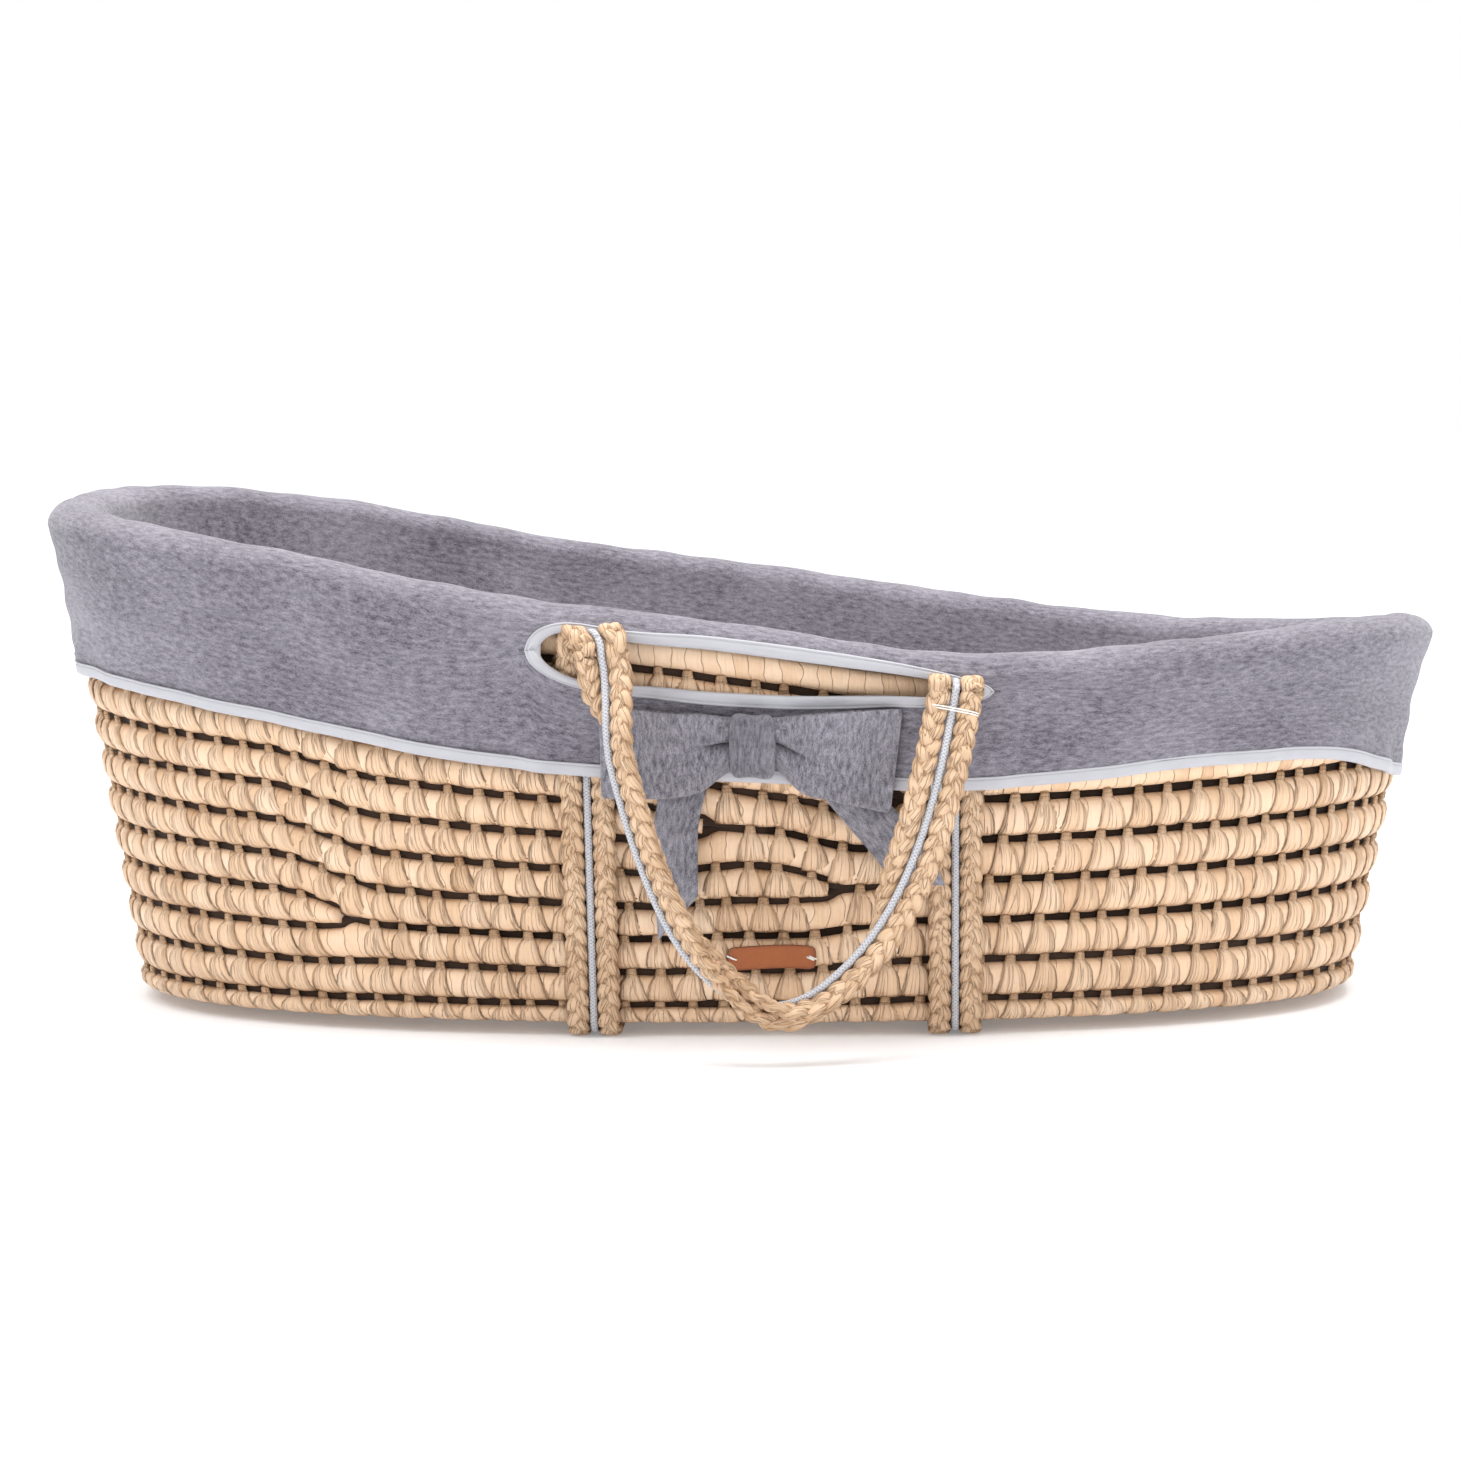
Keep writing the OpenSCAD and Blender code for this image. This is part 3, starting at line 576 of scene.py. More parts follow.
def makeStage():
    mesh = bpy.data.meshes.new("floor")
    mesh.from_pydata([(-12, -12, 0), (12, -12, 0), (12, 12, 0), (-12, 12, 0)], [], [(0, 1, 2, 3)])
    floor = bpy.data.objects.new("floor", mesh)
    bpy.context.scene.collection.objects.link(floor)
    s = Shader("paleFloor")
    mesh.materials.append(s.finish((0.87, 0.89, 0.92, 1), 0.6, Specular_IOR_Level=0.1,
                                   Emission_Color=(1, 1, 1, 1), Emission_Strength=0.16))
    world = bpy.data.worlds.new("studio")
    bpy.context.scene.world = world
    world.use_nodes = True
    world.node_tree.nodes["Background"].inputs[0].default_value = (1, 1, 1, 1)
    world.node_tree.nodes["Background"].inputs[1].default_value = 1.0
    areaLight("key", (-1.9, -1.5, 2.6), (0, 0, 0.15), 1.3, 19)
    areaLight("fill", (2.4, -2.0, 1.2), (0, 0, 0.15), 2.0, 6)
    areaLight("top", (0.2, 0.1, 3.0), (0, 0, 0.2), 3.0, 124)


placeCamera()
makeStage()
bpy.context.scene.view_settings.view_transform = "Standard"
print("camera, light and floor placed")

# ---- coiled wall ----
coil = dict(stationStep=3.2, around=16, stripWidth=9.2, slant=0.65, recess=1.95, roundness=0.82, recessShade=9.5)


def wallPoint(a, off, z):
    # point at angle a and height z, off outwards from the coil's outer face
    f = np.clip((z - basket["floorGap"]) / (coilTop(a) - basket["floorGap"]), 0, 1)
    x, y = egg(f, a, off)
    return np.stack(np.broadcast_arrays(x, y, z), -1)


def angleAt(x, side):
    # angle at which the wall reaches x on one side, read from a table
    a = np.linspace(0, pi, 721)
    found = np.interp(-np.asarray(x, float), -egg(0.85, a)[0], a)
    return np.where(np.asarray(side) > 0, found, 2 * pi - found)


def rowAngles(k, step):
    # even stations along the outer face of row k; whole rows are closed; returns angles, distances and length
    start = 0.0
    if rowEnds[k] < 1000:
        a = np.linspace(0, pi, 1441)
        start = np.interp(-rowEnds[k], -egg(0.6, a)[0], a)
    a = np.linspace(start, 2 * pi - start, 2401)
    s = lengthAlong(wallPoint(a, 0, sum(rowSpan(k, a)) / 2))
    n = int(round(s[-1] / step))
    even = np.arange(n) * s[-1] / n if start == 0 else np.linspace(0, s[-1], n + 1)
    return np.interp(even, s, a), even, s[-1]


def bent(value, power):
    return np.sign(value) * np.abs(value) ** power


def buildRow(k):
    a, s, length = rowAngles(k, coil["stationStep"])
    whole = rowEnds[k] > 1000
    n, m = len(a), coil["around"]
    swell = wobble(k, 9, 8, 60)
    low, high = rowSpan(k, a)
    nearEnd = 0 if whole else np.exp(-np.minimum(s, length - s) / 14)
    half = (high - low) / 2 - coil["recess"] * (1 - 0.7 * nearEnd) + 0.25 * swell(s / length)
    phi = np.arange(m) / m * 2 * pi + pi  # the UV seam is at the back
    thick = basket["coilThick"] / 2
    off = -thick + (thick + 0.2 * swell(s / length + 0.3)[:, None]) * bent(np.cos(phi), coil["roundness"])
    z = ((low + high) / 2)[:, None] + half[:, None] * bent(np.sin(phi), coil["roundness"])
    points = wallPoint(a[:, None], off, z)
    strips = round(length / coil["stripWidth"])
    su = np.append(s, length)[:, None] if whole else s[:, None]
    v = np.arange(m + 1)[None] / m
    u = su / length * strips + coil["slant"] * v + 40 * k
    uv = np.stack(np.broadcast_arrays(u, v), -1)
    # painted shade: each row darkens towards its top and bottom, where it curves into the recess against the next
    # row; the slow wobble along the row is random tone
    shade = -0.20 * np.abs(np.sin(phi))[None] ** 3 + 0.05 * wobble(k + 50, 12, 3, 30)(s / length)[:, None]
    quads, uvQuads, caps, uvCaps = tubeFaces(n, m, 1, whole)
    mesh = makeMesh(rowNodes[k], points, quads, uv, uvQuads, caps, uvCaps, shade)
    makePiece(rowNodes[k] + "_look", "basket", coilLeaf, [rowNodes[k]], mesh)


def hemHeight(a):
    # height of the hem: the fold less the skirt's depth
    x, y = egg(1.0, a, 6)
    t = (x + basket["rimHalfL"]) / (2 * basket["rimHalfL"])
    return rimZ(x, y) - through(basket["skirtDepths"], t)


def ribbonMesh(name, centre, across, normal, width, rise, tones):
    # many closed ribbons at once: centre, across and normal are (ribbons, stations, 3), width and rise per
    # station; the outer side is arched and the inner side flat
    side = np.array([-1, -0.55, 0, 0.55, 1, 0.6, 0, -0.6])
    lift = np.array([0.0, 0.75, 1.0, 0.75, 0.0, -0.9, -0.9, -0.9])
    count, n = centre.shape[:2]
    w = width[..., None, None] * side[:, None] / 2
    h = rise[..., None, None] * lift[:, None]
    points = centre[:, :, None] + across[:, :, None] * w + normal[:, :, None] * h
    m = len(side)
    u = np.append(side, side[0])[None, None] * 0.5 + 0.5
    v = np.linspace(0, 1, n)[None, :, None]
    jump = np.random.default_rng(len(name) * 7 + count).uniform(0, 60, (count, 1, 1))
    uv = np.stack(np.broadcast_arrays(u + jump, v), -1)
    # painted shade: each ribbon darkens towards its edges, where it turns down against the row beneath it
    shade = tones[:, :, None] - 0.10 * np.abs(side)[None, None] ** 2
    quads, uvQuads, caps, uvCaps = tubeFaces(n, m, count)
    return makeMesh(name, points, quads, uv, uvQuads, caps, uvCaps, shade)


ties = dict(spacing=18.6, neck=6.2, jitter=2.2, lift=1.25)


def buildTies(lower, upper):
    # ties from one row down over the row below it, where the skirt doesn't cover them; a pair of whole rows
    # with a short one between them meets only past its end
    rng = np.random.default_rng(300 + lower * 3 + upper)
    a, s, length = rowAngles(upper, 2.0)
    count = int(length / ties["spacing"])
    at = (np.arange(count) + 0.5 * (lower % 2)) * length / count + rng.normal(0, ties["jitter"] / 2, count)
    mid = np.interp(at, s, a)
    x = egg(0.6, mid)[0]
    edge = rowSpan(upper, mid)[0]
    inSlot = (x > slot["headX"] - 8) & (x < slot["footX"] + 8)
    shown = (edge < hemHeight(mid) + 10) | inSlot
    if upper - lower == 2:
        shown &= x > rowEnds[lower + 1] + 9
    else:
        shown &= x < min(rowEnds[lower], rowEnds[upper]) - 7
    mid, at = mid[shown], at[shown]
    count = len(mid)
    thick = basket["coilThick"] / 2
    (low1, edge), (low2, high2) = rowSpan(lower, mid), rowSpan(upper, mid)
    z1, h1 = (edge + low1) / 2, (edge - low1) / 2 - coil["recess"]
    z2, h2 = (low2 + high2) / 2, (high2 - low2) / 2 - coil["recess"]
    turn = np.radians([62, 38, 14, -12, -38, -64])
    onRow = (thick + 0.35) * bent(np.cos(turn), coil["roundness"])
    off = np.concatenate([np.full((count, 1), -4.6), np.full((count, 1), -3.2), np.full((count, 1), -3.2),
                          np.tile(onRow - thick, (count, 1))], 1)
    z = np.concatenate([(z2 - h2 * 0.72)[:, None], (edge + 1.6)[:, None], (edge - 1.6)[:, None],
                        z1[:, None] + h1[:, None] * bent(np.sin(turn), coil["roundness"])[None]], 1)
    lean = rng.normal(2.2, 1.3, count)  # the fan drifts sideways as it goes down
    drift = lean[:, None] * np.linspace(0, 1, 9)[None] ** 1.5
    stationA = mid[:, None] + (np.interp(at[:, None] + drift, s, a) - mid[:, None])
    centre = wallPoint(stationA, off, z)
    ahead = wallPoint(stationA + 0.01, off, z)
    across = unit(ahead - centre)
    along = np.gradient(centre, axis=1)
    normal = unit(np.cross(along, across))
    outwards = np.sign(np.sum(normal * (wallPoint(stationA, off + 5, z) - centre), -1, keepdims=True))
    normal *= np.where(outwards == 0, 1, outwards)
    size = rng.uniform(0.86, 1.1, count)[:, None]
    t = np.linspace(0, 1, 9)[None]
    width = np.interp(t, [0, 0.2, 0.33, 0.5, 0.72, 0.9, 1], [0.7, 1, 1.1, 1.75, 2.4, 2.8,
                                                             2.85]) * ties["neck"] * size
    rise = np.interp(t, [0, 0.25, 0.5, 1], [1.5, 1.6, 1.25, 0.75]) * np.ones((count, 1)) * ties["lift"] / 1.25
    # random tone for each tie, with painted shade: darkest at the neck where it sinks into the recess between rows,
    # darker again where the fan curves under the lower row
    tone = rng.normal(0, 0.07, (count, 1)) + np.interp(t, [0, 0.2, 0.4, 0.75, 1],
                                                       [-0.35, -0.14, 0.0, 0.07, -0.12])
    mesh = ribbonMesh("ties", centre, across, normal, width, rise, tone)
    makePiece("row_ties_%d_%d" % (lower + 1, upper + 1), "basket", tieLeaf, [], mesh)


def buildRecessShade():
    # painted shade: dark tubes set deep in the recess between neighbouring rows, where there is only shade
    parts, m = [], 8
    phi = np.arange(m) / m * 2 * pi
    a = np.linspace(0, 2 * pi, 260, endpoint=False)
    for k in range(1, 13):
        off = -coil["recessShade"] + 3.4 * np.cos(phi)
        z = rowEdge(k, a)[:, None] + 5.2 * np.sin(phi)
        parts.append(wallPoint(a[:, None], off, z))
    points = np.stack(parts)
    uv = np.zeros((len(parts), 261, m + 1, 2))
    quads, uvQuads, caps, uvCaps = tubeFaces(260, m, len(parts), True)
    mesh = makeMesh("recessShade", points, quads, uv, uvQuads)
    makePiece("row_recess_shade", "basket", recessShadeMaterial, [], mesh)


def buildBase():
    # the flat coiled base: rings inside the lowest row, seen from below
    rings, m = [], 10
    phi = np.arange(m) / m * 2 * pi + pi
    a = np.linspace(0, 2 * pi, 420, endpoint=False)
    pitch = basket["coilThick"]
    for j in range(9):
        off = -pitch * (j + 1.5) + (pitch / 2 - 0.6) * bent(np.cos(phi), 0.85)
        x, y = egg(0, a[:, None], off[None])
        z = 14.4 + 8.0 * bent(np.sin(phi), 0.85)[None] + 0 * x
        rings.append(np.stack([x, y, z], -1))
    points = np.stack(rings)
    lengths = [lengthAlong(np.concatenate([r[:, 0], r[:1, 0]])) / coil["stripWidth"] for r in rings]
    u = np.stack([np.round(q[-1]) / q[-1] * q for q in lengths])[:, :, None] + 0.65 * np.arange(m + 1)[None, None] / m
    uv = np.stack(np.broadcast_arrays(u, np.arange(m + 1)[None, None] / m), -1)
    quads, uvQuads, caps, uvCaps = tubeFaces(420, m, 9, True)
    # painted shade: each ring darkens towards its inner and outer sides, where it presses against the next ring
    shade = -0.2 * np.abs(np.cos(phi))[None, None] ** 3 + np.zeros((9, 420, 1))
    mesh = makeMesh("baseRings", points, quads, uv, uvQuads, shade=shade)
    makePiece("base_rings", "basket", coilLeaf, ["base_coil"], mesh)
    x = np.linspace(-1, 1, 120)[:, None] * (basket["baseHalfL"] - pitch * 10 + 6)
    round_ = np.sqrt(np.clip(1 - np.abs(np.linspace(-1, 1, 120)) ** 24, 0.02, 1))[:, None]
    core = np.stack(np.broadcast_arrays(x, 8.2 * round_ * np.cos(phi), 14.4 + 8 * round_ * np.sin(phi)), -1)
    uvCore = np.stack(np.broadcast_arrays(x / coil["stripWidth"], np.arange(m + 1)[None] / m), -1)
    quads, uvQuads, caps, uvCaps = tubeFaces(120, m)
    makePiece("base_middle", "basket", coilLeaf, [],
              makeMesh("baseMiddle", core, quads, uvCore, uvQuads, caps, uvCaps, np.zeros((120, m))))
    # ties between neighbouring rings, on the underside
    rng = np.random.default_rng(71)
    centres, acrosses = [], []
    for j in range(9):
        edgeX, edgeY = egg(0, a, -pitch * (j + 1) + 0.0)
        line = np.stack([edgeX, edgeY], 1)
        s = lengthAlong(np.concatenate([line, line[:1]]))
        count = int(s[-1] / 21)
        at = (np.arange(count) + 0.5 * (j % 2)) * s[-1] / count + rng.normal(0, 1, count)
        mid = np.interp(at, s, np.append(a, 2 * pi))
        offs = -pitch * (j + 1) + np.array([5.5, 2.5, 0, -3, -8, -12])
        deep = np.array([8.2, 9.3, 9.6, 7.6, 5.9, 6.6])
        x, y = egg(0, mid[:, None], offs[None])
        x2, y2 = egg(0, mid[:, None] + 0.01, offs[None])
        centre = np.stack([x, y, np.broadcast_to(deep, x.shape)], -1)
        centres.append(centre)
        acrosses.append(unit(np.stack([x2 - x, y2 - y, 0 * x], -1)))
    centre, across = np.concatenate(centres), np.concatenate(acrosses)
    normal = unit(np.cross(np.gradient(centre, axis=1), across))
    normal *= np.where(normal[..., 2:] > 0, -1.0, 1.0)
    width = np.tile([5, 6, 7, 10, 14, 14.5], (len(centre), 1))
    rise = np.tile([0.7, 0.7, 0.7, 0.6, 0.5, 0.4], (len(centre), 1))
    # random tone for each tie, with painted shade: darkest at its narrow neck where it comes out between the rings,
    # darker again at the end of its fan
    tone = rng.normal(0, 0.06, (len(centre), 1)) + np.array([-0.2, -0.1, 0, 0.04, 0.05, -0.1])
    makePiece("base_ties", "basket", tieLeaf, [],
              ribbonMesh("baseTies", centre, across, normal, width, rise, tone))


slot = dict(headX=-105.0, footX=141.0, tip=0.5,
            middle=(228, 220.4, 215.6, 211.2, 207.6, 203), half=(33, 17.2, 13.4, 11.1, 9.4, 10))

for row in range(13):
    buildRow(row)
print("coil rows built")
for row in range(12):
    buildTies(row, row + 1)
    if rowEnds[row + 1] < 1000:
        buildTies(row, row + 2)
buildRecessShade()
buildBase()
print("ties, backing and base built")

# ---- plaits ----
plait = dict(width=13.5, cord=4.4, thick=9.0, period=28.0, strandW=7.4, strandT=4.4, sway=3.05, weave=1.75,
             step=1.5, around=10)
plaitOffset = (plait["width"] + plait["cord"]) / 2


def plaitPoints(path, across, normal, centreOff, thin, phase=0.0):
    # three strands that sway across and weave in and out; path, across and normal are per station with even
    # steps, thin is the thickness factor at each station; returns points, uv and tones, one tube after
    # another
    s = lengthAlong(path)
    middle = path + across * centreOff
    tubes, uvs, tones = [], [], []
    phi = np.arange(plait["around"]) / plait["around"] * 2 * pi
    for strand in range(3):
        turn = 2 * pi * (s / plait["period"] + phase) + strand * 2 * pi / 3
        sway = plait["sway"] * np.sin(turn)
        weave = plait["weave"] * np.sin(2 * turn) * thin
        line = middle + across * sway[:, None] + normal * weave[:, None]
        along = unit(np.gradient(line, axis=0))
        wide = unit(across - along * np.sum(across * along, 1, keepdims=True))
        up = np.cross(along, wide)
        ring = wide[:, None] * (plait["strandW"] / 2 * bent(np.cos(phi), 0.8))[None, :, None]
        ring = ring + up[:, None] * ((plait["strandT"] / 2 * thin)[:, None] * bent(np.sin(phi), 0.8))[:, :,
                                                                                                      None]
        tubes.append(line[:, None] + ring)
        u = np.arange(plait["around"] + 1)[None] / plait["around"] + strand * 7.3 + phase * 5
        u, v = np.broadcast_arrays(u, (s / plait["period"])[:, None])
        uvs.append(np.stack([u, v], -1))
        # painted light and shade: the outer face of each strand is lighter where it rises over its neighbours and
        # darker where it dips under them, and darker along its sides where the strands meet; the slow sine along it
        # is tone
        facing = np.sign(np.sum(up * normal, 1, keepdims=True)) * np.sin(phi)[None]
        dip = np.where(facing > 0, np.sin(2 * turn)[:, None], -np.sin(2 * turn)[:, None])
        tones.append(0.10 * dip - 0.16 * np.abs(np.cos(phi))[None] ** 3 + 0.05 * np.sin(turn * 0.37)[:, None])
    return np.stack(tubes), np.stack(uvs), np.stack(tones)


def plaitPiece(name, body, nodes, path, across, normal, side, thin=None, phase=0.0):
    thin = np.ones(len(path)) if thin is None else thin
    points, uv, tones = plaitPoints(path, across, normal, side * plaitOffset, thin, phase)
    quads, uvQuads, caps, uvCaps = tubeFaces(len(path), plait["around"], 3)
    mesh = makeMesh(name, points, quads, uv, uvQuads, caps, uvCaps, tones)
    return makePiece(name, body, plaitLeaf, nodes, mesh)


def roundTube(name, body, nodes, path, across, normal, radius, flat, material, around=12):
    # plain tube with an elliptical section
    phi = np.arange(around) / around * 2 * pi
    radius = np.broadcast_to(radius, (len(path),))[:, None, None]
    points = path[:, None] + across[:, None] * np.cos(phi)[None, :, None] * radius
    flat = np.broadcast_to(flat, (len(path),))[:, None, None]
    points = points + normal[:, None] * np.sin(phi)[None, :, None] * radius * flat
    s = lengthAlong(path) / 1000
    uv = np.stack(np.broadcast_arrays(np.arange(around + 1)[None] / around, s[:, None]), -1)
    quads, uvQuads, caps, uvCaps = tubeFaces(len(path), around)
    mesh = makeMesh(name, points, quads, uv, uvQuads, caps, uvCaps)
    return makePiece(name, body, material, nodes, mesh)


# ---- straps on the wall and under the base ----
handle = dict(lowZ=31.0, lowX=32.0, drop=39.0, hingeY=250.0, headZ=226.0, footZ=207.0, standOff=13.0,
              headShift=12.0,
              riseHead=12.0, riseFoot=2.5, foldFront=25.0, foldBack=150.0, flip=185.0, shift=6.6)
strapBend = 6.0


def strapSurface(x, side, centreX):
    # inner face, outward direction and thickness down one side and under the base to the middle
    top = np.interp(centreX, [basket["headStrapX"], basket["footStrapX"]], [handle["headZ"], handle["footZ"]])
    floor = basket["floorGap"] - 0.2
    z = np.linspace(top, floor + strapBend, 120)
    bend = np.radians(np.linspace(0, 90, 26)[1:])
    y = wallY(x, wallF(centreX, side, z)) + 0.2
    zBend = floor + strapBend * (1 - np.sin(bend))
    yBend = wallY(x, wallF(centreX, side, zBend)) - strapBend + (strapBend + 0.2) * np.cos(bend)
    yFlat = np.linspace(yBend[-1], 0, 90)[1:]
    ys = np.concatenate([y, yBend, yFlat])
    zs = np.concatenate([z, zBend, np.full(89, floor)])
    outY = np.concatenate([np.ones(120), np.cos(bend), np.zeros(89)])
    outZ = np.concatenate([np.zeros(120), -np.sin(bend), -np.ones(89)])
    thick = np.concatenate([np.full(120, plait["thick"]), mix(plait["thick"], floor, np.linspace(0, 1, 25)),
                            np.full(89, floor)])
    inner = np.stack([np.full_like(ys, x), side * ys, zs], 1)
    return inner, np.stack([0 * ys, side * outY, outZ], 1), thick


def strapLine(centreX):
    # middle of a strap from the front top, under the base, to the rear top, with its across and outward
    # directions
    halves = []
    for side in (-1, 1):
        inner, out, thick = strapSurface(centreX, side, centreX)
        left, right = strapSurface(centreX - 6, side, centreX)[0], strapSurface(centreX + 6, side, centreX)[0]
        across = unit(right - left)
        halves.append((inner + out * thick[:, None] / 2, across, out, thick))
    front, rear = halves
    path = np.concatenate([front[0], rear[0][-2::-1]])
    across = np.concatenate([front[1], rear[1][-2::-1]])
    out = np.concatenate([front[2], rear[2][-2::-1]])
    thick = np.concatenate([front[3], rear[3][-2::-1]])
    even, s = resample(path, plait["step"])
    old = lengthAlong(path)
    pick = lambda v: np.stack([np.interp(s, old, v[:, i]) for i in range(3)], 1)
    across, out = unit(eased(pick(across), 8)), eased(pick(out), 8)
    out = unit(out - across * np.sum(out * across, 1, keepdims=True))
    return even, across, out, np.interp(s, old, thick) / plait["thick"]


def buildStrap(end, centreX):
    path, across, out, thin = strapLine(centreX)
    inner = 1 if end == "head" else -1
    plaitPiece(end + "_strap_inner_look", "basket", [end + "_strap_inner_plait"], path, across, out, inner,
               thin, 0.1)
    plaitPiece(end + "_strap_outer_look", "basket", [end + "_strap_outer_plait"], path, across, out, -inner,
               thin, 0.45)
    line, a, n = path[::2], across[::2], out[::2]
    roundTube(end + "_strap_cord_look", "basket", [end + "_strap_cord"], line, a, n, plait["cord"] / 2,
              thin[::2],
              cordWeave)


# ---- handles ----
def handleReach(drop):
    c = 1 + drop / handle["drop"]
    return np.log(c + np.sqrt(c * c - 1))


headReach, footReach = handleReach(handle["headZ"] - handle["lowZ"]), handleReach(handle["footZ"] - handle["lowZ"])


def handleLine(side):
    # a catenary that hangs just clear of the skirt and the wall; returns path, wide and outward directions
    u = np.linspace(-headReach, footReach, 900)

    def place(u):
        z = handle["lowZ"] + handle["drop"] * (np.cosh(u) - 1)
        headRun = (handle["lowX"] - basket["headStrapX"] - handle["headShift"]) / headReach
        footRun = (basket["footStrapX"] - handle["lowX"]) / footReach
        x = handle["lowX"] + u * np.where(u < 0, headRun, footRun)
        top = np.where(u < 0, handle["headZ"], handle["footZ"])
        y = side * (handle["hingeY"] + handle["standOff"] * smooth((top - z - 3) / 40))
        return np.stack([x, y, z], 1)

    path = place(u)
    path, s = resample(path, plait["step"])
    u = np.interp(s, lengthAlong(place(u)), u)
    along = np.gradient(path, axis=0)
    along[:, 1] = 0
    along = unit(along)
    across = np.stack([-along[:, 2], 0 * s, along[:, 0]], 1)
    out = np.tile([0.0, side, 0.0], (len(s), 1))
    # the two plaits fold about the cord between them: flat at both ends, one behind the other along the
    # head-side leg, turned over through the bottom, and opening again up the foot-side leg
    folding, turning, opening = smooth((u + headReach) / 0.3), smooth((u + 1.6) / 2.5), smooth((u - 0.8) / 1.3)
    upper = np.radians(handle["foldFront"] * folding + handle["flip"] * turning + handle["foldBack"] * opening)
    lower = np.radians(180 + handle["foldBack"] * folding + handle["flip"] * turning + handle["foldFront"] * opening)
    path = path - across * (handle["shift"] * folding * (1 - 2 * turning) * (1 - opening))[:, None]
    spread = lambda angle: (across * np.cos(angle)[:, None] + out * np.sin(angle)[:, None],
                            out * np.cos(angle)[:, None] - across * np.sin(angle)[:, None])
    return dict(path=path, s=s, across=across, out=out, upper=spread(upper), lower=spread(lower))


def turnLine(side, end):
    # the bend from the strap's top out over the slot's lower edge to the handle
    strap = strapLine(basket["headStrapX"] if end == "head" else basket["footStrapX"])
    k = 0 if side < 0 else -1
    h = 0 if end == "head" else -1
    start, acrossStart = strap[0][k], strap[1][k]
    finish, wide = handles[side]["path"][h], handles[side]["across"]
    flip = 1 if end == "head" else -1
    theta = np.linspace(-0.12, 1.03, 44) * pi
    t = np.clip(theta / pi, 0, 1)
    middleY, radiusY = (start[1] + finish[1]) / 2, (finish[1] - start[1]) / 2
    x = mix(start[0], finish[0], smooth(t))
    y = middleY - radiusY * np.cos(np.clip(theta, 0, pi))
    rise = handle["riseHead" if end == "head" else "riseFoot"] * np.sin(np.clip(theta, 0, pi))
    z = mix(start[2], finish[2], t) + rise + 9 * np.minimum(theta, 0) - 9 * np.maximum(theta - pi, 0)
    line = np.stack([x, y, z], 1)
    across = unit(mix(acrossStart[None], flip * wide[h][None], smooth(t)[:, None]))
    along = unit(np.gradient(line, axis=0))
    across = unit(across - along * np.sum(across * along, 1, keepdims=True))
    out = np.cross(along, across)
    outwards = np.stack([0 * x, side * np.cos(theta), np.sin(theta)], 1)
    out *= np.sign(np.sum(out * outwards, 1, keepdims=True))
    return line, across, out


def buildHandle(side, name):
    line = handles[side]
    path, wide, thick, s = line["path"], line["across"], line["out"], line["s"]
    body = name + "_handle"
    plaitPiece(body + "_upper_look", body, [body + "_upper_plait"], path, *line["upper"], 1, None, 0.2)
    plaitPiece(body + "_lower_look", body, [body + "_lower_plait"], path, *line["lower"], 1, None, 0.55)
    roundTube(body + "_cord_look", body, [body + "_cord"], path[::2], wide[::2], thick[::2],
              plait["cord"] / 2, 1.0,
              cordWeave)
    # thread whipped round the foot-side leg
    at = np.searchsorted(s, s[-1] - 13)
    turns, t = 2, np.linspace(0, 1, 120)
    angle = t * turns * 2 * pi
    ring = wide[at] * (bent(np.cos(angle), 0.5) * (plaitOffset + plait["width"] / 2 - 1.5))[:, None]
    ring = ring + thick[at] * (bent(np.sin(angle), 0.5) * (plait["thick"] / 2 - 0.9))[:, None]
    along = np.cross(wide[at], thick[at])
    line = path[at] + ring + along * ((t - 0.5) * 2.6 + 1.2 * np.sin(angle))[:, None]
    line, _ = resample(line, 1.6)
    tangent = unit(np.gradient(line, axis=0))
    sideways = unit(np.cross(tangent, along))
    roundTube(name + "_handle_thread_look", name + "_handle", [name + "_handle_thread"], line, sideways,
              np.cross(tangent, sideways),
              0.42, 1.0, thread, 6)


def buildTurns(side, name):
    points, uvs, tones = [], [], []
    for end in ("head", "foot"):
        line, across, out = turnLine(side, end)
        for strip, phase in ((1, 0.1), (-1, 0.45)):
            p, uv, tone = plaitPoints(line, across, out, strip * plaitOffset, np.ones(len(line)), phase)
            points.append(p), uvs.append(uv), tones.append(tone)
        roundTube(name + "_" + end + "_turn_cord", "basket", [], line, across, out, plait["cord"] / 2, 1.0,
                  cordWeave)
    quads, uvQuads, caps, uvCaps = tubeFaces(44, plait["around"], 12)
    mesh = makeMesh("turns", np.concatenate(points), quads, np.concatenate(uvs), uvQuads, caps, uvCaps,
                    np.concatenate(tones))
    makePiece(name + "_turns_look", "basket", plaitLeaf, [name + "_strap_turns"], mesh)


buildStrap("head", basket["headStrapX"])
buildStrap("foot", basket["footStrapX"])
handles = {side: handleLine(side) for side in (-1, 1)}
for side, name in ((-1, "front"), (1, "rear")):
    buildHandle(side, name)
    buildTurns(side, name)
print("straps and handles built")

# ---- fabric cover ----
cover = dict(stations=560, thick=1.8, liner=-26.0, floorZ=26.0, strapRoom=7.0, hemWave=2.2, ripple=0.55,
             tapeWidth=7.6, tapeThick=1.5)
sideNames = {-1: "front", 1: "rear"}


def slotMiddle(x):
    return through(slot["middle"], (x - slot["headX"]) / (slot["footX"] - slot["headX"]))


def slotHalf(x, grow=0.0):
    # half height of the opening: a lens with the given heights along it
    t = np.clip((x - slot["headX"] + grow) / (slot["footX"] - slot["headX"] + 2 * grow), 0, 1)
    return (through(slot["half"], t) + grow) * np.sin(pi * t) ** slot["tip"]


def strapBump(x):
    # 1 where a strap runs under the cloth, easing to 0 beside it
    return np.maximum(smooth((42 - np.abs(x - basket["headStrapX"])) / 20),
                      smooth((42 - np.abs(x - basket["footStrapX"])) / 20))


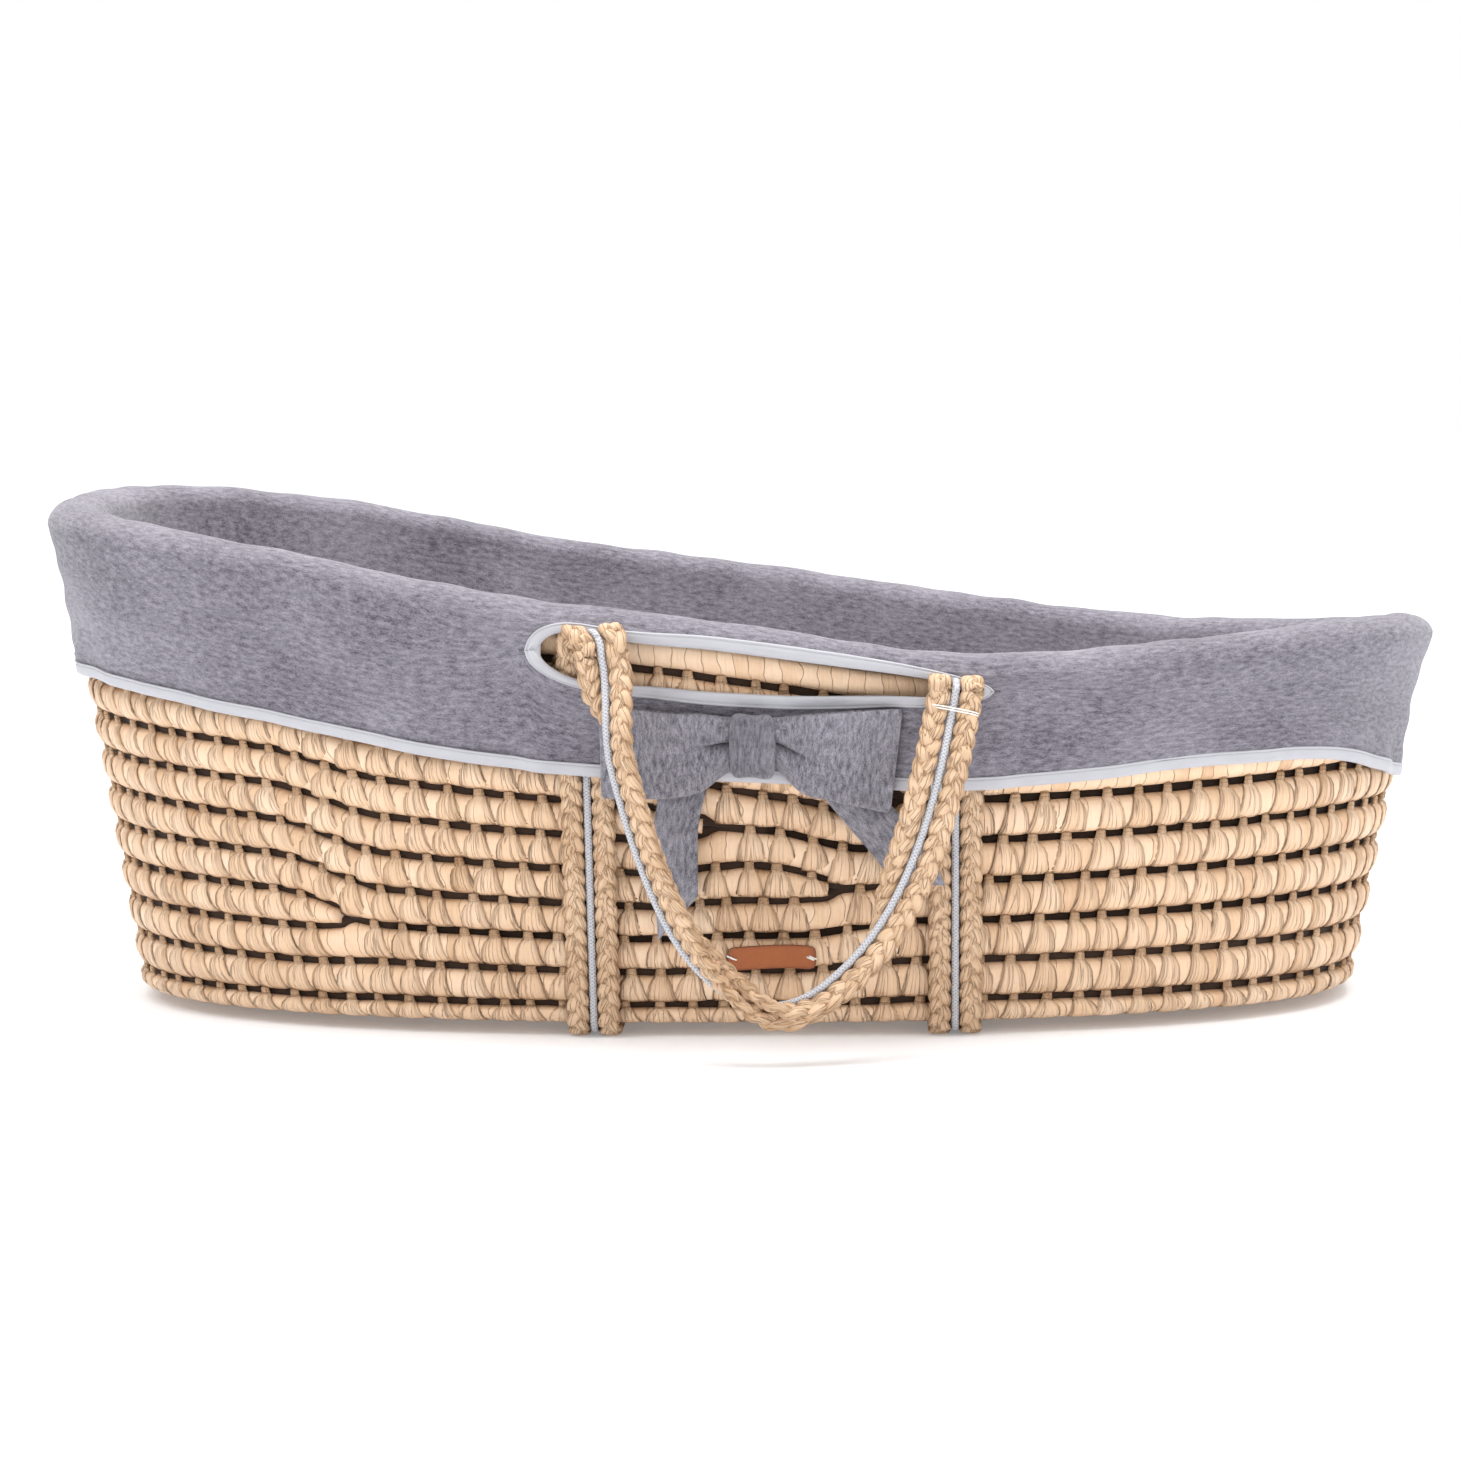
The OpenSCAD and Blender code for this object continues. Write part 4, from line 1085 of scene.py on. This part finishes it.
# soft folds on the front and rear: x, z, direction in degrees, half length, half width, height
folds = [(-118, 214, 205, 46, 5.0, 1.6), (-122, 228, 168, 40, 4.5, 1.3), (-96, 176, 250, 34, 6, 1.5),
         (162, 199, -14, 44, 5, 1.5),
         (158, 214, 12, 36, 4.5, 1.1), (112, 168, -62, 30, 6, 1.2), (-40, 186, 12, 46, 5, 1.1), (74, 184, -8, 44, 5, 1.1),
         (-180, 196, 28, 60, 9, 1.2), (-250, 238, -24, 66, 11, 1.0), (226, 176, -20, 60, 10, 1.1), (262, 206, 18, 50, 9, 0.9),
         (-20, 246, -6, 70, 6, 0.7), (60, 236, -5, 60, 6, 0.6)]


def foldField(x, z):
    # sum of long soft ridges
    total = np.zeros(np.broadcast(x, z).shape)
    for fx, fz, direction, length, width, height in folds:
        c, s = np.cos(np.radians(direction)), np.sin(np.radians(direction))
        along, over = (x - fx) * c + (z - fz) * s, -(x - fx) * s + (z - fz) * c
        total += height * np.exp(-((along / length) ** 2) - (over / width) ** 2)
    return total


hemNoise, midNoise, seamNoise = wobble(5, 14, 9, 44), wobble(6, 12, 4, 20), wobble(8, 10, 12, 60)


def coverOut(a, z):
    # how far the outside of the skirt stands off the coil's outer face: clear of the straps, full over the
    # rim, rippled by the rows under it, waved at the hem, with soft folds
    x, y = egg(0.9, a)
    top, hem = rimZ(*egg(1.0, a, 6)), hemHeight(a)
    t = np.clip((top - z) / (top - hem), 0, 1.2)
    flat = basket["skirtGap"] + cover["strapRoom"] * strapBump(x) + cover["thick"]
    full = basket["coverOut"] + 1
    out = mix(full, flat, smooth((t - 0.1) / 0.38))
    rows = sum(rowWeight(k, x) for k in range(13))
    share = (z - basket["floorGap"]) / (coilTop(a) - basket["floorGap"])
    free = 1 - 0.8 * strapBump(x)
    out = out - cover["ripple"] * np.cos(2 * pi * rows * share) * smooth((t - 0.15) / 0.2) * free
    turn = a / (2 * pi)
    out = out + cover["hemWave"] * (0.35 + 0.5 * hemNoise(turn)) * smooth((t - 0.55) / 0.45) * free
    out = out + 0.8 * midNoise(turn) * np.sin(pi * np.clip(t, 0, 1)) ** 2 * free
    out = out - 3.2 * smooth((x - 330) / 90) * smooth(t / 0.5)  # drawn in round the foot
    return out + foldField(x, z) * smooth(t / 0.15) * (np.abs(y) > 90)


def skirtPlace(x, z, side, out=0.0):
    # point on the outside of the skirt at x and z on one side, with its height kept
    a = angleAt(x, side)
    for _ in range(2):  # the outline's x depends a little on the height
        a = a + (wallPoint(a, coverOut(a, z), z)[..., 0] - x) / (basket["rimHalfL"] * np.sin(a))
    return wallPoint(a, coverOut(a, z) + out, z)


def coverStations():
    # even stations along the rim, with a few more at the two side seams
    a = np.linspace(0, 2 * pi, 4001)
    s = lengthAlong(np.stack([*egg(1.0, a, 6), 0 * a], 1))
    even = np.arange(cover["stations"]) / cover["stations"] * s[-1]
    seams = [np.interp(angleAt(x, side), a, s) for x, side in ((8, -1), (14, 1))]
    more = np.concatenate([q + np.array([-2.6, -1.2, -0.6, 0, 0.6, 1.2, 2.6]) for q in seams])
    keep = np.min(np.abs(even[:, None] - more[None]), 1) > 0.8
    every = np.sort(np.concatenate([even[keep], more]))
    return np.interp(every, s, a), every, s[-1], seams


def buildCover():
    a, s, length, seams = coverStations()
    n = len(a)
    x = egg(0.9, a)[0]
    onSide = np.abs(egg(1.0, a)[1]) > 90
    top, hem = rimZ(*egg(1.0, a, 6)), hemHeight(a)
    groove = -0.7 * np.sum([np.exp(-(((s - q) / 0.75) ** 2)) for q in seams], 0)
    linerWave = 0.9 * midNoise(s / length + 0.4)
    inSlot = onSide & (x > slot["headX"]) & (x < slot["footX"])
    middle = np.where(onSide, slotMiddle(x), mix(hem, top, 0.6))
    away = smooth(np.maximum(slot["headX"] - x, x - slot["footX"]).clip(0) / 120)
    middle = mix(middle, mix(hem, top, 0.6), away)
    half = np.where(inSlot, np.maximum(slotHalf(x), 0.25), 0.25)
    upper, lower = np.minimum(middle + half, top - 7), middle - half
    offs, zs = [], []
    # up the liner, over the rim, then down to the slot and on to the hem
    for t in np.linspace(0, 1, 22):
        z = mix(cover["floorZ"], top - 13, t)
        offs.append(cover["liner"] + linerWave * np.sin(pi * t) - groove)
        zs.append(z)
    for theta in np.radians(np.linspace(172, 14, 15)):
        # half ellipse over the rim coil
        halfSpan = (cover["liner"] - basket["coverOut"] - 1) / -2
        offs.append(cover["liner"] + halfSpan + halfSpan * np.cos(theta) + groove * (-1 if theta > 1.6 else 1))
        zs.append(top - 13 + 13 * np.sin(theta) + 0.35 * seamNoise(s / length))
    for t in np.linspace(0.12, 1, 9):
        z = mix(top - 9, upper, t)
        offs.append(coverOut(a, z) + groove)
        zs.append(z)
    gapRow = len(zs) - 1
    for t in np.linspace(0, 1, 20):
        z = mix(lower, hem, t)
        offs.append(coverOut(a, z) + groove)
        zs.append(z)
    off, z = np.stack(offs, 1), np.stack(zs, 1)
    outer = wallPoint(a[:, None], off, z)
    m = off.shape[1]
    tangentU = np.roll(outer, -1, 0) - np.roll(outer, 1, 0)
    tangentV = np.gradient(outer, axis=1)
    normal = unit(np.cross(tangentU, tangentV))
    normal *= np.sign(np.sum(normal[:, -5] * np.stack([np.cos(a), np.sin(a), 0 * a], 1), 1).mean())
    inner = outer - normal * cover["thick"]
    points = np.stack([outer, inner])
    depth = np.stack([lengthAlong(outer[i]) for i in range(0, n, 40)]).mean(0) / 1000
    su = np.append(s, length) / 1000
    uv = np.stack(np.broadcast_arrays(su[None, :, None], depth[None, None], np.zeros((2, 1, 1))), -1)[..., :2]
    i, j = np.meshgrid(np.arange(n), np.arange(m - 1), indexing="ij")
    gone = inSlot & np.roll(inSlot, -1)
    keep = ~(gone[:, None] & (np.arange(m - 1) == gapRow)[None])
    i, j = i[keep], j[keep]
    point = lambda layer, i, j: layer * n * m + (i % n) * m + j
    spot = lambda layer, i, j: layer * (n + 1) * m + i * m + j
    quads, uvs = [], []

    def add(corners):
        quads.append(np.stack([point(*c) for c in corners], -1))
        uvs.append(np.stack([spot(*c) for c in corners], -1))

    zero, one = 0 * i, 0 * i + 1
    add([(zero, i, j), (zero, i + 1, j), (zero, i + 1, j + 1), (zero, i, j + 1)])
    add([(one, i, j + 1), (one, i + 1, j + 1), (one, i + 1, j), (one, i, j)])
    i = np.arange(n)
    zero = 0 * i
    for edge in (0, m - 1):
        e, order = zero + edge, 1 if edge == 0 else -1
        add([(zero + 1, i, e), (zero + 1, i + 1, e), (zero, i + 1, e), (zero, i, e)][::order])
    i = np.flatnonzero(gone)
    zero = 0 * i
    for edge, order in ((gapRow, -1), (gapRow + 1, 1)):
        e = zero + edge
        add([(zero + 1, i, e), (zero + 1, i + 1, e), (zero, i + 1, e), (zero, i, e)][::order])
    starts, ends = np.flatnonzero(gone & ~np.roll(gone, 1)), np.flatnonzero(~gone & np.roll(gone, 1))
    for i, order in ((starts, 1), (ends, -1)):
        zero = 0 * i
        add([(zero, i, zero + gapRow), (zero, i, zero + gapRow + 1),
             (zero + 1, i, zero + gapRow + 1), (zero + 1, i, zero + gapRow)][::order])
    mesh = makeMesh("cover", points, np.concatenate(quads), uv, np.concatenate(uvs))
    piece = makePiece("cover_look", "basket", jersey, ["cover_skirt", "cover_liner"], mesh)
    print("cover flat size", round(length / 1000, 3), round(float(depth[-1]), 3))


def sweepClosed(name, nodes, rings, uScale, vScale, material, closed=True):
    # rings is (stations, points, 3) of closed sections; UVs are lengths in metres
    n, m = rings.shape[:2]
    su = lengthAlong(np.concatenate([rings[:, 0], rings[:1, 0]]) if closed else rings[:, 0]) / 1000 * uScale
    sv = lengthAlong(np.concatenate([rings[0], rings[0, :1]])) / 1000 * vScale
    uv = np.stack(np.broadcast_arrays(su[:, None], sv[None]), -1)
    quads, uvQuads, caps, uvCaps = tubeFaces(n, m, 1, closed)
    mesh = makeMesh(name, rings, quads, uv, uvQuads, caps, uvCaps)
    return makePiece(name, "basket", material, nodes, mesh)


def buildTapes():
    # hem: folded over the edge of the skirt, with a stitched groove near its top
    a, s, length, _ = coverStations()
    hem = hemHeight(a)
    w, t = cover["tapeWidth"], cover["tapeThick"]
    profile = [(0.2, 5.6), (0.8, 6.0), (1.3, 5.6), (1.25, 4.9), (0.75, 4.5), (1.25, 4.1), (1.5, 3.2),
               (1.55, 1.0), (1.2, -0.9),
               (0.2, -1.6), (-1.4, -1.7), (-2.8, -0.9), (-3.2, 1.0), (-3.1, 5.0), (-1.9, 5.4), (-0.9, 5.6)]
    rings = np.stack([wallPoint(a, coverOut(a, hem) + p[0] + 0.12 * seamNoise(s / length * 2),
                                hem + p[1]) for p in profile], 1)
    sweepClosed("hem_tape", ["hem_binding"], rings, 1, 1, tape)
    # slots: round each lens-shaped opening
    for side in (-1, 1):
        b = np.linspace(0, 2 * pi, 260, endpoint=False) + 0.012
        rings = []
        for grow, out in ((0.4, -2.6), (-0.9, -1.6), (-1.2, 0.0), (-0.6, 1.3), (0.8, 1.75), (2.2, 1.7),
                          (3.6, 1.6), (4.6, 1.45),
                          (5.2, 0.9), (5.8, 1.4), (6.5, 1.2), (6.9, 0.3), (6.0, -0.5), (3.0, -0.8)):
            x = mix(slot["headX"] - grow * 1.6, slot["footX"] + grow * 1.6, (1 - np.cos(b)) / 2)
            z = slotMiddle(x) + np.sign(np.sin(b)) * slotHalf(x, grow)
            rings.append(skirtPlace(x, z, side, out))
        sweepClosed(sideNames[side] + "_slot_tape", [sideNames[side] + "_slot_binding"], np.stack(rings, 1),
                    1, 1, tape)


def discMesh(name, rings, bottom, top):
    # closed body of rings (count, points, 3) between two pole points
    count, m = rings.shape[:2]
    points = np.concatenate([rings.reshape(-1, 3), [bottom], [top]])
    quads = gridQuads(count, m, False, True)[0]
    step = np.arange(m)
    low, high = count * m, count * m + 1
    tris = [[low, (j + 1) % m, j] for j in step] + [[high, (count - 1) * m + j,
                                                     (count - 1) * m + (j + 1) % m] for j in step]
    return makeMesh(name, points, quads, points[:, :2] / 1000, quads, tris, tris)


def buildFloorAndMattress():
    b = np.linspace(0, 2 * pi, 180, endpoint=False)
    edge = wallPoint(b, cover["liner"] - 0.9, 25.2)[:, :2]
    rings = []
    for scale, z in ((0.25, 24.2), (0.6, 24.2), (0.9, 24.2), (1.0, 24.4), (1.005, 25.2),
                     (1.0, 26.0), (0.9, 25.9), (0.6, 25.9), (0.25, 25.9)):
        rings.append(np.concatenate([edge * scale, np.full((180, 1), z)], 1))
    mesh = discMesh("coverFloor", np.stack(rings), (0, 0, 24.2), (0, 0, 25.9))
    floor = makePiece("cover_floor_look", "basket", jersey, ["cover_base"], mesh)
    # mattress: full rounded edges, piped seam, shallow quilting on top and bottom
    low, high = cadBox("mattress_cover")
    halfL, halfW, z0, z1 = (high[0] - low[0]) / 2, (high[1] - low[1]) / 2, low[2], high[2]
    b = np.linspace(0, 2 * pi, 360, endpoint=False)
    c, s = np.cos(b), np.sin(b)
    r = (np.abs(c) ** 2.4 + np.abs(s) ** 2.4) ** (-1 / 2.4)
    outline = np.stack([c * r, s * r], 1)
    rings = []
    inside = np.concatenate([np.linspace(0.02, 0.93, 60), [0.955, 0.975, 0.99]])
    corner, mid = 7.0, (z0 + z1) / 2

    def quilt(x, y, k):
        # diamond quilting: the depth is least on two crossing sets of lines
        u, v = (x + y) / 62 + 0.5, (x - y) / 62 + 0.5
        line = np.minimum(np.abs(u - np.round(u)), np.abs(v - np.round(v)))
        return -2.3 * np.exp(-((line / 0.075) ** 1.3)) * smooth((0.985 - k) / 0.05)

    def layer(k, z, face):
        x, y = outline[:, 0] * (halfL - 1.2) * k, outline[:, 1] * (halfW - 1.2) * k
        return np.stack([x, y, z + face * (quilt(x, y, k) - 4.0 * smooth((k - 0.86) / 0.13) ** 2)], 1)

    rings += [layer(k, z0 + 0.1, -1) for k in inside]
    rings += [np.stack([outline[:, 0] * (halfL - inset), outline[:, 1] * (halfW - inset), np.full(360, z)], 1)
              for inset, z in ((1.2, z0 + 5.2), (0.4, z0 + 6.4), (0.05, z0 + 8), (0.0, mid - 3),
                                (0.0, mid + 3), (0.05, z1 - 8), (0.4, z1 - 6.4), (1.2, z1 - 5.2))]
    rings += [layer(k, z1 - 0.1, 1) for k in inside[::-1]]
    mesh = discMesh("mattress", np.stack(rings), (0, 0, z0 + 0.1), (0, 0, z1 - 0.1))
    piece = makePiece("mattress_look", "mattress", cotton,
                      ["mattress_cover", "mattress_core"], mesh)
    for z, label in ((z0 + 6.1, "lower"), (z1 - 6.1, "upper")):
        line = np.stack([outline[:, 0] * (halfL - 0.9), outline[:, 1] * (halfW - 0.9), np.full(360, z)], 1)
        tangent = unit(np.roll(line, -1, 0) - np.roll(line, 1, 0))
        outwards = np.cross(tangent, [0, 0, 1.0])
        phi = np.arange(8) / 8 * 2 * pi
        sideways = outwards[:, None] * 0.9 * np.cos(phi)[None, :, None]
        rings = line[:, None] + sideways + np.array([0, 0, 0.9]) * np.sin(phi)[None, :, None]
        quads, uvQuads, _, _ = tubeFaces(360, 8, 1, True)
        mesh = makeMesh("piping", rings, quads, np.zeros((361, 9, 2)), uvQuads)
        makePiece("mattress_piping_" + label, "mattress", cotton, [], mesh)


buildCover()
buildTapes()
buildFloorAndMattress()
print("cover, tapes and mattress built")

# ---- bows ----
bow = dict(cloth=2.6, knotX=14.0, knotZ=173.5, knotW=26.0, knotH=39.0, knotDepth=8.5)


def ribbonGrid(name, side, nodes, path, axis, width, cloth, crease=None, cut=0.0,
               lengthwise=False):
    # a closed flat band: path (n, 3) of (x, z, distance out from the skirt), width per station along axis
    # (x, z), both faces offset by half the cloth; crease(u, v) lifts it; cut shifts its end diagonally
    n, across = len(path), 25
    v = np.linspace(-1, 1, across)
    x = path[:, None, 0] + axis[:, None, 0] * v[None] * width[:, None] / 2
    z = path[:, None, 1] + axis[:, None, 1] * v[None] * width[:, None] / 2
    out = np.broadcast_to(path[:, None, 2], x.shape).copy()
    u = np.linspace(0, 1, n)[:, None]
    if crease is not None:
        out = out + crease(u, v[None])
    if cut:
        end = np.gradient(path[:, :2], axis=0)[-1]
        end = end / np.linalg.norm(end)
        x, z = x + end[0] * cut * v[None] * u**3, z + end[1] * cut * v[None] * u**3
    flat = skirtPlace(x, z, side, 0.0)
    flat[..., 0], flat[..., 1] = x, flat[..., 1] + side * out
    normal = unit(np.cross(np.gradient(flat, axis=0), np.gradient(flat, axis=1)))
    edge = np.minimum(1, 1.02 - np.abs(v)[None] ** 30)[..., None]
    half = normal * cloth / 2 * edge
    ring = np.concatenate([flat + half, (flat - half)[:, ::-1]], 1)
    m = ring.shape[1]
    s = lengthAlong(flat[:, across // 2]) / 1000
    vv = np.concatenate([(v * width.max() / 2000), (v * width.max() / 2000)[::-1], [-width.max() / 2000]])
    pair = (s[:, None], vv[None]) if lengthwise else (vv[None], s[:, None])
    uv = np.stack(np.broadcast_arrays(*pair), -1)
    quads, uvQuads, caps, uvCaps = tubeFaces(n, m)
    mesh = makeMesh(name, ring, quads, uv, uvQuads, caps, uvCaps)
    piece = makePiece(name, "basket", bowJersey, nodes, mesh)
    return piece


def hairpin(x0, x1, z0, z1, depth, back, n=46):
    # out along the front of a loop, round its end and back behind; returns x, z and distance out
    t = np.linspace(0, 1, n)
    swell = np.sin(pi * np.clip(t * 0.93 + 0.05, 0, 1)) ** 0.8
    front = np.stack([mix(x0, x1, t), mix(z0, z1, t), back + depth * (0.35 + 0.65 * swell)], 1)
    radius = (front[-1, 2] - back) / 2
    b = np.linspace(0, pi, 14)[1:-1]
    sign = np.sign(x1 - x0)
    turn = np.stack([x1 + sign * radius * np.sin(b), np.full(12, z1), back + radius + radius * np.cos(b)], 1)
    rear = np.stack([mix(x1, x0, t), mix(z1, z0, t), np.full(n, back)], 1)
    return np.concatenate([front, turn, rear])


def buildBow(side):
    name = sideNames[side]
    loops = (("head_loop", 3.0, -68.0, (174.5, 169.5, 168.0, 169.0, 170.5), (30.0, 44.0, 48.5, 51.0, 53.0),
              1),
             ("foot_loop", 25.0, 91.0, (175.0, 169.0, 167.5, 166.0, 164.5), (29.0, 44.5, 50.0, 55.0, 59.0),
              2))
    for label, x0, x1, heights, widths, seed in loops:
        path = hairpin(x0, x1, 0, 0, 8.5, 2.2)
        reach = np.clip(np.abs(path[:, 0] - x0) / abs(x1 - x0), 0, 1)
        path[:, 1] = through(heights, reach)
        width = through(widths, reach)
        axis = np.stack([np.full(len(path), 0.12 if seed == 2 else 0.0) * reach, np.ones(len(path))], 1)
        rng = np.random.default_rng(seed)
        shift = rng.uniform(0, 2 * pi, 3)

        def crease(u, v, reach=reach, shift=shift, tilt=0.5 if seed == 1 else -0.35):
            # one deep tuck beside the knot with a soft swell on each side, then slight waves towards the
            # loop's end
            q = reach[:, None]
            line = v - 0.08 - tilt * q
            tuck = -6.4 * np.exp(-np.abs(line / 0.10) ** 1.5) * (1 - smooth((q - 0.05) / 0.36))
            swell = 3.6 * np.exp(-((line - 0.36) / 0.24) ** 2) + 3.0 * np.exp(-((line + 0.36) / 0.26) ** 2)
            pinch = -3.0 * np.exp(-((v + 0.95) / 0.25) ** 2) * (1 - smooth(q / 0.4))
            return tuck + swell * (1 - smooth(q / 0.6)) + pinch + 1.6 * np.sin(3.4 * q + 1.8 * v + shift[2]) * smooth(q * 3)

        ribbonGrid(name + "_bow_" + label + "_look", side, [name + "_bow_" + label], path, axis, width,
                   bow["cloth"], crease)
    tails = (("head_tail", [(-10, 168), (-24, 150), (-30, 126), (-30.5, 100), (-30, 73)],
              (12, 24, 25.5, 25, 24), -13.5),
             ("foot_tail", [(46, 166), (63, 150), (80, 131), (95, 112), (107, 93)], (14, 24, 27, 27, 24),
              8.0))
    for label, line, widths, cut in tails:
        t = np.linspace(0, 1, 48)
        xz = np.stack([through([p[i] for p in line], t) for i in range(2)], 1)
        out = through([1.0, 1.2, 2.0, 3.5, 6.5] if label == "head_tail" else [1.0, 1.2, 1.6, 2.5, 4.0], t)
        path = np.column_stack([xz, out])
        tangent = unit(np.gradient(xz, axis=0))
        cross = np.stack([-tangent[:, 1], tangent[:, 0]], 1)
        cross *= np.where(cross[:, :1] < 0, -1, 1)
        width = through(widths, t)

        def crease(u, v):
            return 1.3 * np.cos(4 * v + 1.5 * u) * (1 - 0.6 * u) + 0.8 * np.sin(5 * u + v)

        ribbonGrid(name + "_bow_" + label + "_look", side, [name + "_bow_" + label], path, cross, width,
                   bow["cloth"], crease, cut, True)
    # knot: a barrel with upright pleats
    n, m = 34, 40
    u = np.linspace(-1, 1, n)[:, None]
    phi = np.arange(m)[None] / m * 2 * pi
    body = (1 - np.abs(u) ** 5) ** 0.22 * 0.94 + 0.06
    waist = 1 - 0.09 * np.exp(-((u / 0.6) ** 2))
    pleat = 1 + 0.055 * np.cos(11 * u + 0.8) + 0.035 * np.cos(19 * u + 2 + np.sin(phi))
    high = bow["knotH"] / 2 * body * waist
    x = bow["knotX"] + bow["knotW"] / 2 * u + 0.8 * np.sin(phi) * (1 - u**2)
    z = bow["knotZ"] + high * bent(np.sin(phi), 0.85) - 0.05 * (x - bow["knotX"])
    deep = bow["knotDepth"] * body * pleat * bent(np.cos(phi), 0.75)
    x, z, deep = np.broadcast_arrays(x, z, deep)
    face = skirtPlace(np.full_like(x, bow["knotX"]), np.full_like(z, bow["knotZ"]), side)
    lean = (z - bow["knotZ"]) * 0.22
    ring = np.stack([x, face[..., 1] + side * (9.0 + deep + lean), z], -1)
    s = lengthAlong(ring[:, 0]) / 1000
    uv = np.stack(np.broadcast_arrays(s[:, None] * 1.2, np.arange(m + 1)[None] / m * 0.08), -1)
    quads, uvQuads, caps, uvCaps = tubeFaces(n, m)
    mesh = makeMesh("knot", ring, quads, uv[..., ::-1], uvQuads, caps, uvCaps)
    knot = makePiece(name + "_bow_knot_look", "basket", knotShadedJersey, [name + "_bow_knot"], mesh)


# painted shade: the knot gets a darker copy of the bow's jersey, standing in for the shade in its gathered cloth
knotShadedJersey = jerseyMaterial("knotShadedJersey", (0.25, 0.24, 0.27), (0.04, 0.036, 0.046), 2.4)
bowJersey = jerseyMaterial("bowJersey", (0.335, 0.322, 0.36), (0.05, 0.045, 0.058), 2.5)
for side in (-1, 1):
    buildBow(side)
print("bows built")

# ---- label ----
label = dict(x=22.6, z=48.6, length=50.5, height=14.0, thick=1.7, stand=1.6, corner=0.16)


def labelPlace(x, z, out):
    y = -wallY(x, wallF(x, -1, z)) - label["stand"] - out
    return np.stack(np.broadcast_arrays(x, y, z), -1)


def buildLabel():
    n, m = 61, 21
    u, v = np.linspace(-1, 1, n)[:, None], np.linspace(-1, 1, m)[None]
    # square grid pressed into a rectangle with round corners
    reach = 1 - label["corner"] * (1 - np.sqrt(np.clip(1 - np.clip((np.abs(v) - 0.45) / 0.55, 0, 1) ** 2, 0,
                                                       1)))
    x = label["x"] + label["length"] / 2 * u * reach
    z = label["z"] + label["height"] / 2 * v - 1.1 * (u**2) + 0.5 * np.sin(2.2 * u)
    edge = np.maximum(np.abs(u) ** 14, np.abs(v) ** 8)
    wave = 0.55 * np.sin(3.1 * u + 0.5)
    front = labelPlace(x, z, label["thick"] + wave - 0.55 * edge)
    back = labelPlace(x, z, wave + 0 * edge)
    ring = np.concatenate([front, back[:, ::-1]], 1)
    tone = np.concatenate([np.broadcast_to(edge, (n, m)), np.ones((n, m))], 1)
    quads, uvQuads, caps, uvCaps = tubeFaces(n, 2 * m)
    uv = np.stack(np.broadcast_arrays(u, np.linspace(0, 1, 2 * m + 1)[None]), -1)
    makePiece("label_look", "basket", leather, ["label_patch"],
              makeMesh("label", ring, quads, uv, uvQuads, caps, uvCaps, tone))
    parts = []
    for end in (-1, 1):
        for dx, dz in ((0, 0.0), (1.4, 0.5)):
            t = np.linspace(-1, 1, 15)
            x = label["x"] + end * (label["length"] / 2 - 1.2 - 2.6 * (t + 1) / 2 * 1.6 + dx) + 0 * t
            z = label["z"] - 1.0 + dz + 1.0 * t * end
            wave = 0.55 * np.sin(3.1 * (x - label["x"]) / (label["length"] / 2) + 0.5)
            parts.append(labelPlace(x, z, label["thick"] + 0.5 + wave - 1.6 * np.abs(t) ** 6))
    lines = np.stack(parts)
    tangent = unit(np.gradient(lines, axis=1))
    wide = unit(np.cross(tangent, [0, 1.0, 0]))
    deep = np.cross(tangent, wide)
    phi = np.arange(7) / 7 * 2 * pi
    rings = lines[:, :, None] + 0.5 * (wide[:, :, None] * np.cos(phi)[:, None] + deep[:, :, None] * np.sin(phi)[:, None])
    quads, uvQuads, caps, uvCaps = tubeFaces(15, 7, 4)
    lengthwise = np.linspace(0, 0.2, 15)[None, :, None] + np.zeros((4, 1, 1))
    uv = np.stack(np.broadcast_arrays(np.arange(8)[None, None] / 7, lengthwise), -1)
    makePiece("label_stitches", "basket", thread, ["label_thread"],
              makeMesh("stitches", rings, quads, uv, uvQuads, caps, uvCaps))


buildLabel()
print("label built")
